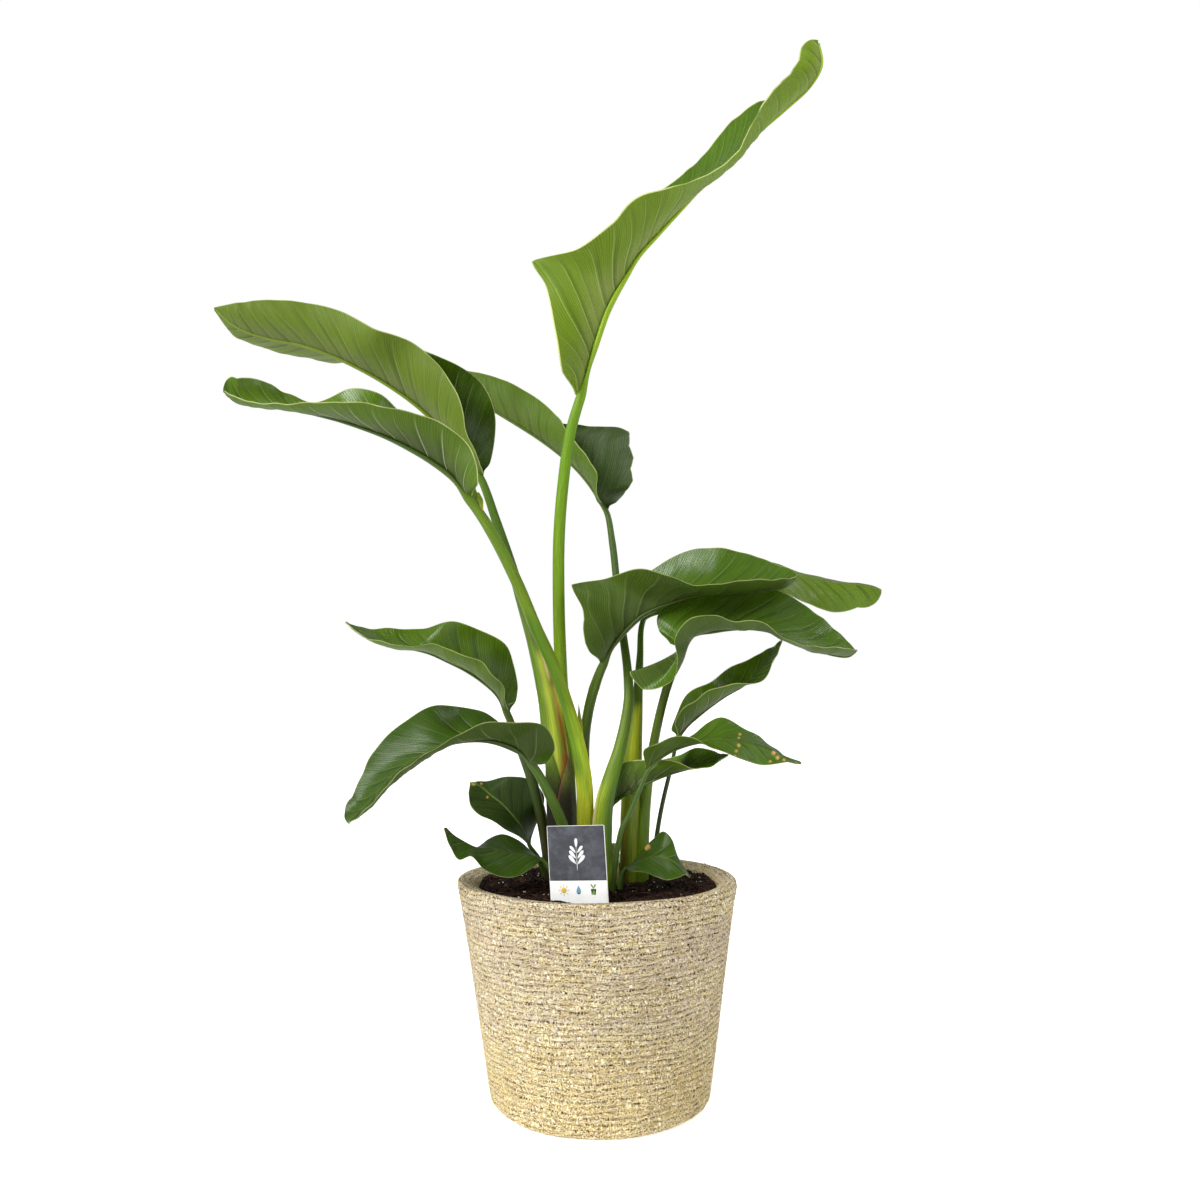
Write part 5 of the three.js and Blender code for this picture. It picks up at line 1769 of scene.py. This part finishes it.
    def build_straws(self, section: Array, out: Array, length: Array) -> None:
        """Straws on the rows of the wall, at seeded places: short, a few long, and a few loose ends.

        A straw is a three-sided strip that tapers to both ends. It follows its own row's crest round
        the wall at a low slant, dips into the wall at its ends, or swings out of it by a quarter sine.

        Args:
            section: The wall's section, as radius and height.
            out: The way out of the wall at each of its points.
            length: How far along the section each point lies.
        """
        rng = np.random.default_rng(self.seed)
        each = (self.lying + self.long + self.loose, 1)
        kind = np.repeat([0, 1, 2], [self.lying, self.long, self.loose])[:, None]
        share = np.linspace(0, 1, 4)[None]
        size = np.choose(kind, [rng.uniform(*lengths, each) for lengths in self.straws])
        turn = rng.random(each)
        angle = 2 * math.pi * turn + math.pi / 2
        crest = np.argmax(section[:, 1])
        low, high = np.interp([6.0, 165.0], section[:crest, 1], length[:crest])
        place = rng.uniform(low, high, each)
        waver = self.waver(angle, place)
        row = np.floor(place / self.cord - turn + waver) + 0.5 + rng.normal(0, 0.2, each)
        slant = np.where(kind == 1, rng.normal(0.02, 0.04, each), rng.normal(0.2, 0.22, each))
        place = (row + turn - waver) * self.cord + slant * size * (share - 0.5)
        angle = angle + size * (share - 0.5) / self.straw_radius
        swing = rng.uniform(0.5, 1.6, each) * np.sin(share * 1.6)
        bulge = np.where(kind == 2, swing, 0.75 * np.sin(math.pi * share) - 0.35) + self.bulge * 0.2
        radius, height, away, up = (np.interp(place, length, v) for v in (*section.T, *out.T))
        line = round_axis(radius + away * bulge, angle, height + up * bulge, self.lean)
        outward = np.stack([np.cos(angle), np.sin(angle), 0.0 * angle], -1)
        thick = np.where(kind == 2, rng.uniform(0.12, 0.25, each), rng.uniform(0.2, 0.42, each))
        thick = thick * np.sqrt(np.sin(math.pi * (0.06 + 0.88 * share)))
        rings = three_sided(line, thick, 0.5 * outward)
        rings[..., 2] = np.maximum(rings[..., 2], 0.1)
        chances = rng.random((each[0], 1, 1, 3))
        chances[self.lying :, ..., 0] = 0.6 + 0.4 * chances[self.lying :, ..., 0]
        chances[self.lying :, ..., 1] = 0.3 + 0.3 * chances[self.lying :, ..., 1]
        straws = strands(rings)
        straws.values["chances"] = np.broadcast_to(chances, rings.shape).reshape(-1, 3)
        make_piece("loose_straws", [straws], [LooseStrawFinish().material()])


def three_sided(line: Array, thick: Array, side: Array) -> Array:
    """Rings of three corners about the points of many lines.

    Args:
        line: The points, strands by points by 3.
        thick: The size of each ring.
        side: The way from each point to the ring's first corner; the other two lie over and under.

    Returns:
        Points, strands by rings by 3 corners by 3.
    """
    corner = np.radians([0, 120, 240])[:, None]
    ring = np.cos(corner) * side[:, :, None] + np.sin(corner) * UPWARD
    return line[:, :, None] + thick[..., None, None] * ring


def strands(rings: Array) -> Surface:
    """Many closed three-sided strands as one surface of triangles.

    Args:
        rings: Strands by rings by 3 corners by 3.

    Returns:
        Triangles over all the strands.
    """
    count, steps = rings.shape[:2]
    quads, last = ring_faces(steps, 3), 3 * steps - 3
    ends = [[2, 1, 0], [last, last + 1, last + 2]]
    faces = np.vstack([quads[:, [0, 1, 2]], quads[:, [0, 2, 3]], ends])
    own = (np.arange(count) * steps * 3)[:, None, None]
    return Surface(rings.reshape(-1, 3), (faces[None] + own).reshape(-1, 3)).facing_out()


# The soil


def blobs(places: Array, sizes: Array, rng: np.random.Generator, flat: float = 0.7) -> Surface:
    """Many small lumps as one surface: a squashed icosahedron each, with its corners moved in and out.

    Args:
        places: Their middles, n by 3.
        sizes: Their mean radii, n.
        rng: The seeded source of their shapes.
        flat: How much lower than wide they are.

    Returns:
        Triangles over all the lumps.
    """
    gold = (1 + math.sqrt(5)) / 2
    corners = np.array([(0, a, b * gold) for a in (-1, 1) for b in (-1, 1)], float)
    corners = unit(np.vstack([corners, np.roll(corners, 1, 1), np.roll(corners, 2, 1)]))
    apart = np.linalg.norm(corners[:, None] - corners[None], axis=-1)
    near = (apart > 0.1) & (apart < 1.2)
    faces = [f for f in combinations(range(12), 3) if all(near[pair] for pair in combinations(f, 2))]
    faces = np.array([f if np.linalg.det(corners[list(f)]) > 0 else f[::-1] for f in faces])
    count = len(places)
    shape = corners[None] * rng.uniform(0.65, 1.3, (count, 12, 1)) * rng.uniform(0.6, 1.4, (count, 1, 3))
    spin = rng.uniform(0, 2 * math.pi, count)
    c, s = np.cos(spin)[:, None], np.sin(spin)[:, None]
    x, y, z = np.moveaxis(shape, -1, 0)
    shape = np.stack([x * c - y * s, x * s + y * c, z * flat], -1) * sizes[:, None, None]
    own = (np.arange(count) * 12)[:, None, None]
    return Surface((places[:, None] + shape).reshape(-1, 3), (faces[None] + own).reshape(-1, 3))


@dataclass
class Soil:
    """Damp potting peat in the pot: a lumpy top with crumbs, fibres and grains of perlite on it.

    The pot's lip, at lip_radius, stands between the heights under and shoulder. The soil's top reaches
    out over it to edge. rings is how many rings the top has. All sizes are in millimetres.
    """

    edge: float = 93.0
    top: float = 162.0
    shoulder: float = 158.0
    under: float = 148.6
    lip_radius: float = 87.2
    foot: float = 9.999
    foot_radius: float = 65.6
    lean: float = -1.9
    around: int = 200
    rings: int = 76
    crumbs: int = 4800
    fibres: int = 460
    perlite: int = 110
    seed: int = 29

    def height(self, x: Array, y: Array) -> Array:
        """The height of the top: two long waves, some shorter ones, and a heap towards the stems.

        Args:
            x: Millimetres to the right.
            y: Millimetres to the back.

        Returns:
            Millimetres over the floor.
        """
        waves = 1.2 * np.sin(x * 0.11 + 1.3) * np.cos(y * 0.13) + 0.6 * np.sin(x * 0.23 - y * 0.19)
        small = 0.5 * np.sin(x * 0.71 + y * 0.4) * np.sin(y * 0.83 - x * 0.3)
        small = small + 0.3 * np.sin(x * 1.9) * np.sin(y * 1.7)
        heap = 1.2 * np.exp(-(((x + 5) / 55) ** 2) - ((y / 45) ** 2))
        return self.top + waves + small + heap + 0.8 * ease(70, 92, np.hypot(x, y))

    def build(self) -> None:
        """Makes the body of soil, and what lies on it."""
        rng = np.random.default_rng(self.seed)
        angle = np.arange(self.around) / self.around * 2 * math.pi
        lower = [self.foot_radius - 20, self.foot_radius, self.lip_radius, self.edge, self.edge]
        radii = np.concatenate([lower, np.linspace(self.edge - 0.6, 1.5, self.rings)])[:, None]
        heights = [self.foot, self.foot, self.under, self.under, self.shoulder, *[0.0] * self.rings]
        x, y = radii * np.cos(angle), radii * np.sin(angle)
        z = np.broadcast_to(np.array(heights)[:, None], x.shape).copy()
        grit = rng.normal(0, 0.35, (self.rings, self.around))
        first = len(lower)
        z[first:] = self.height(x[first:], y[first:]) + grit
        body = skin(round_axis(radii, angle, z, self.lean))
        peat = CrumbFinish("damp_peat", "#060302", "#1a0f0a", 0.9, 1.3).material()
        make_piece("peat_bed", [body], [peat], ("soil",))

        bark = CrumbFinish("bark_crumbs", "#070403", "#3e281c", 0.75, 1.7).material()
        where = self.scatter(rng, self.crumbs, 91.2)
        sizes = rng.gamma(2.2, 0.42, self.crumbs) + 0.45
        crumbs = blobs(where + 0.2 * UPWARD, np.minimum(sizes, 3.4), rng)
        make_piece("peat_crumbs", [crumbs], [bark], smooth=False)

        root = CrumbFinish("peat_fibres", "#3d2416", "#7d5636", 0.8, 6.0).material()
        make_piece("peat_fibres", [self.threads(rng)], [root])

        where = self.scatter(rng, self.perlite, 90)
        white = CrumbFinish("perlite_grains", "#b5b2a8", "#f0eee8", 0.7, 0.9).material()
        grains = blobs(where + 0.7 * UPWARD, rng.uniform(0.35, 1.0, self.perlite), rng, 0.9)
        make_piece("perlite_grains", [grains], [white], smooth=False)

    def threads(self, rng: np.random.Generator) -> Surface:
        """Short bent fibres that lie on the top.

        Args:
            rng: The seeded source of their places and shapes.

        Returns:
            All of them as one surface.
        """
        count = self.fibres
        where = self.scatter(rng, count, 90)
        turn, size = rng.uniform(0, 2 * math.pi, count), rng.uniform(3, 13, count)
        way = np.stack([np.cos(turn), np.sin(turn), rng.uniform(-0.1, 0.35, count)], 1)
        share = np.linspace(-0.5, 0.5, 6)[None, :, None]
        bend = rng.normal(0, 1.3, (count, 1, 3)) * np.array([1, 1, 0.4])
        line = where[:, None] + way[:, None] * size[:, None, None] * share + bend * (0.25 - share**2) * 4
        line[..., 2] = np.maximum(line[..., 2], where[:, None, 2] - 0.4) + 0.7
        flat = np.stack([-np.sin(turn), np.cos(turn), np.zeros(count)], 1)[:, None]
        return strands(three_sided(line, rng.uniform(0.12, 0.35, (count, 1)), flat))

    def scatter(self, rng: np.random.Generator, count: int, reach: float) -> Array:
        """Places on the top, evenly spread out to a radius, and lower before the card's face.

        Args:
            rng: The seeded source.
            count: How many places.
            reach: The radius, in millimetres.

        Returns:
            The places, count by 3.
        """
        radius = reach * np.sqrt(rng.random(count))
        angle = rng.uniform(0, 2 * math.pi, count)
        x, y = radius * np.cos(angle), radius * np.sin(angle)
        z = self.height(x, y) - 3.5 * ((y < -70) & (np.abs(x + 14) < 24))
        return round_axis(radius, angle, z, self.lean)


# The label


@dataclass
class Label:
    """The stiff card stuck in the soil: slate above and white below, with plain generic motifs.

    at is the point of the card on the line that it turns about, and above and below are how far it
    goes from there. It tips back, leans to its side, is turned about its height, and skew is how far it
    drifts sideways as it rises. bow is how far it bows back, by the square of the way across. The slate
    starts at slate_from and leaves a bare edge. The ink stands on the card by its own thickness, and the
    motifs by raised times as much. All sizes are in millimetres, and angles in degrees.
    """

    width: float = 43
    above: float = 55
    below: float = 31
    thick: float = 0.9
    foot: float = 12
    taper: float = 16
    corner: float = 0.8
    at: tuple[float, float, float] = (-14.6, -76, 162.5)
    tips_back: float = 3
    leans: float = 3.0
    turned: float = -14
    skew: float = 0.023
    slate_from: float = 15.5
    ink: float = 0.06
    bare: float = 0.22
    bow: float = 0.0009
    raised: float = 2.6

    def stand(self, flat: Array) -> Array:
        """Points of the card, across, up and forward of its middle, at their place in the soil.

        Args:
            flat: Points, with a last axis of 3.

        Returns:
            As many points, in millimetres.
        """
        bow = self.bow * (flat[..., 0] ** 2)
        x, y, z = flat[..., 0], bow - flat[..., 2], flat[..., 1]
        tip, lean = math.radians(-self.tips_back), math.radians(-self.leans)
        y, z = y * math.cos(tip) - z * math.sin(tip), y * math.sin(tip) + z * math.cos(tip)
        x, z = x * math.cos(lean) + z * math.sin(lean), z * math.cos(lean) - x * math.sin(lean)
        turn = math.radians(self.turned)
        c, s = math.cos(turn), math.sin(turn)
        x, y = x * c - y * s - self.skew * z, x * s + y * c
        return np.stack([x, y, z], -1) + np.array(self.at)

    def slab(self, low: float, high: float, thick: float, finish: int, inset: float = 0.0) -> Surface:
        """A stretch of the card between two heights, as a closed slab.

        Each height has its own width: the card's, rounded at the top and tapering at the foot. The
        rims are eased by a third of the thickness.

        Args:
            low: Where it starts, from the line that the card turns about.
            high: Where it ends.
            thick: How thick it is.
            finish: The number of its finish.
            inset: How far its sides stay in from the card's.

        Returns:
            The closed slab.
        """
        rounding = self.above - self.corner * (1 - np.cos(np.linspace(0, 1.55, 12)))
        up = np.unique(np.concatenate([np.linspace(low, high, 40), rounding]))
        up = up[(up >= low) & (up <= high)]
        half = np.interp(up, [-self.below, self.taper - self.below], [self.foot / 2, self.width / 2]) - inset
        from_top = np.clip(self.corner - (self.above - up), 0, self.corner)
        half = half - (self.corner - np.sqrt(np.maximum(0, self.corner**2 - from_top**2)))
        across = np.concatenate([[-1.0], np.linspace(-0.99, 0.99, 21), [1.0]])
        x = half[:, None] * across[None]
        eased = np.where(np.abs(across) > 0.995, 0.67, 1.0)[None] * np.ones(x.shape)
        eased[0], eased[-1] = 0.67, 0.67
        front, back = (
            np.stack(np.broadcast_arrays(x, up[:, None], side * eased * thick / 2), -1) for side in (1, -1)
        )
        return skin(self.stand(np.concatenate([front, back[:, ::-1]], 1)), finish)

    def motif(self, outline: Array, finish: int) -> Surface:
        """A printed shape: its outline as a thin plate on the card's face.

        Args:
            outline: Its points on the card, across and up.
            finish: The number of its ink.

        Returns:
            The closed plate.
        """
        middle = outline.mean(0)
        shares = np.array([1.0, 0.66, 0.33])[:, None, None]
        flat = middle + (outline - middle)[None] * shares
        front = self.thick / 2 + self.ink * np.array([0.0, *[self.raised] * 3])
        front = np.broadcast_to(front[:, None, None], (4, len(outline), 1))
        return skin(self.stand(np.concatenate([np.concatenate([flat[:1], flat]), front], 2)), finish)

    def motifs(self) -> list[Surface]:
        """A sprig on the slate, and a sun, a drop and a pot on the white: plain signs for care.

        Returns:
            A plate for each sign or part of one.
        """
        t = np.linspace(0, 2 * math.pi, 28, endpoint=False)

        def leaf(x: float, y: float, turn: float, size: float) -> Array:
            """A pointed oval leaf: a circle drawn narrow by the sine of its own angle.

            Args:
                x: Its foot, across.
                y: Its foot, up.
                turn: The way that it grows, in degrees.
                size: Its length.

            Returns:
                Its outline.
            """
            long, wide = size * (1 - np.cos(t)) / 2, 0.21 * size * np.sin(t) * np.sin(t / 2)
            c, s = math.cos(math.radians(turn)), math.sin(math.radians(turn))
            return np.stack([x + long * c - wide * s, y + long * s + wide * c], 1)

        def bar(x: float, y: float, half: float, tall: float) -> Array:
            """A plain upright bar, of twelve points.

            Args:
                x: Its middle, across.
                y: Its middle, up.
                half: Half its width.
                tall: Half its height.

            Returns:
                Its outline.
            """
            corners = np.array([[-half, -tall], [half, -tall], [half, tall], [-half, tall]])
            nudge = np.tile(np.array([[-0.01, 0], [0, 0], [0.01, 0]]), (4, 1))
            return corners[np.repeat(np.arange(4), 3)] + nudge + np.array([x, y])

        shapes = [
            (leaf(side * 0.4, y, 90 - side * 40, 8.4 - i * 0.9), 2)
            for i, y in enumerate((27.5, 31.5, 35.5))
            for side in (1, -1)
        ]
        shapes += [(leaf(0, 39, 90, 7), 2), (bar(0, 31.5, 0.22, 8.2), 2)]
        shapes.append((np.stack([-11 + 1.9 * np.cos(t), 9.6 + 1.9 * np.sin(t)], 1), 3))
        for ray in np.arange(8) * 45:
            c, s = math.cos(math.radians(ray)), math.sin(math.radians(ray))
            beam = np.stack([3.25 + 0.75 * np.cos(t), 0.28 * np.sin(t)], 1)
            shapes.append((beam @ np.array([[c, s], [-s, c]]) + np.array([-11, 9.6]), 3))
        shapes.append((np.stack([2.2 * np.sin(t) * np.sin(t / 2) ** 1.3, 9.8 + 3.1 * np.cos(t)], 1), 4))
        pot = bar(11, 8.4, 1.9, 2.0)
        pot[:, 0] += (11 - pot[:, 0]) * (10.4 - pot[:, 1]) / 16
        shapes += [(pot, 5), (leaf(11, 10.6, 62, 3.6), 5), (leaf(11, 10.6, 118, 3.6), 5)]
        return [self.motif(outline, finish) for outline, finish in shapes]

    def build(self) -> None:
        """Makes the card, its slate field and its motifs."""
        card = self.slab(-self.below, self.above, self.thick, 0)
        slate_top, slate_thick = self.above - self.bare, self.thick + 2 * self.ink
        slate = self.slab(self.slate_from, slate_top, slate_thick, 1, self.bare)
        inks = [
            InkFinish("coated_white_card", "#efefed", "#f7f7f5"),
            InkFinish("slate_grey_ink", "#2a2c33", "#474951", 0.42),
            InkFinish("pale_ink", "#cfd2d2", "#dfe1df"),
            InkFinish("yellow_ink", "#d9b23a", "#e3bf4a"),
            InkFinish("blue_ink", "#5b8fa8", "#6c9cb3"),
            InkFinish("green_ink", "#6b8f3a", "#7a9c45"),
        ]
        finishes = [ink.material() for ink in inks]
        surfaces = [card, slate, *self.motifs()]
        make_piece("label_printed_card", surfaces, finishes, ("plant_label",))


# The room


@dataclass(frozen=True)
class Lamp:
    """A lamp that faces the middle of the plant, its aim.

    size is a box's side in metres, or the sun's angle in degrees.
    """

    kind: str
    at: tuple[float, float, float]
    size: float
    power: float
    aim: tuple[float, float, float] = (0, 0, 0.42)

    def build(self) -> None:
        """Makes the lamp and turns it to the plant."""
        data = bpy.data.lights.new(self.kind.lower(), self.kind)
        data.energy = self.power
        if self.kind == "SUN":
            data.angle = math.radians(self.size)
        else:
            data.shape, data.size = "SQUARE", self.size
        lamp = bpy.data.objects.new(data.name, data)
        bpy.context.collection.objects.link(lamp)
        lamp.location = self.at
        x, y, z = np.array(self.aim) - np.array(self.at)
        lamp.rotation_euler = (math.atan2(math.hypot(x, y), -z), 0, math.atan2(y, x) - math.pi / 2)


@dataclass
class Studio:
    """A white room: a pale floor, even light all round, a wide soft sun, three boxes, and the camera."""

    lens: float = 32.73
    sensor: float = 36.0
    floor: float = 30.0
    room_light: float = 0.36
    floor_glow: float = 0.58
    lamps: tuple[Lamp, ...] = (
        Lamp("SUN", (-1.8, -1.7, 2.1), 38, 2.75),
        Lamp("AREA", (-1.1, -0.6, 1.5), 0.4, 8),
        Lamp("AREA", (1.3, -0.7, 1.2), 0.3, 5),
        Lamp("AREA", (1.5, 0.8, 1.7), 0.6, 7.5),
    )

    def build_floor(self) -> None:
        """A flat pale floor, with a faint mottle, under the basket's foot."""
        mesh = bpy.data.meshes.new("floor")
        s = self.floor
        mesh.from_pydata([(-s, -s, 0), (s, -s, 0), (s, s, 0), (-s, s, 0)], [], [(0, 1, 2, 3)])
        floor = bpy.data.objects.new("floor", mesh)
        bpy.context.collection.objects.link(floor)
        g = Graph("painted_floor")
        mottle = g.add("noise", g.add("place"), 6.0, 3.0)
        colour = g.add("blend", mottle, linear("#f6f6f6"), linear("#fafafa"))
        mesh.materials.append(g.finish(colour, 0.8, ior=1.3, glow=self.floor_glow))

    def build_room(self) -> None:
        """Even white light all round, seen as plain white behind the plant."""
        world = bpy.data.worlds.new("soft_white_room")
        bpy.context.scene.world = world
        world.use_nodes = True
        nodes, links = world.node_tree.nodes, world.node_tree.links
        seen = nodes.new("ShaderNodeLightPath").outputs["Is Camera Ray"]
        strength = nodes.new("ShaderNodeMapRange")
        strength.inputs["To Min"].default_value = self.room_light
        strength.inputs["To Max"].default_value = 1.0
        links.new(seen, strength.inputs["Value"])
        links.new(strength.outputs[0], nodes["Background"].inputs["Strength"])
        nodes["Background"].inputs["Color"].default_value = (1, 1, 1, 1)

    def build(self) -> None:
        """Sets up the floor, the light and the camera."""
        self.build_floor()
        self.build_room()
        for lamp in self.lamps:
            lamp.build()
        data = bpy.data.cameras.new("camera")
        data.lens, data.sensor_width = self.lens, self.sensor
        camera = bpy.data.objects.new("camera", data)
        bpy.context.collection.objects.link(camera)
        camera.location = (0, -GLASS.distance * MM, GLASS.height * MM)
        camera.rotation_euler = (math.radians(90 + GLASS.look_up), 0, 0)
        bpy.context.scene.camera = camera
        bpy.context.scene.view_settings.view_transform = "Standard"


def main() -> None:
    """Gives the pot its finish, and builds the basket, the soil, the label, the leaves, the old sheaths and
    the room.
    """
    logging.basicConfig(level=logging.INFO, format="%(message)s")
    pot = bpy.data.objects["grow_pot"]
    pot.data.materials.clear()
    pot.data.materials.append(PotFinish().material())
    for part in (Basket(), Soil(), Label(), Foliage(), *OLD_SHEATHS, Studio()):
        part.build()


if __name__ == "__main__":
    main()
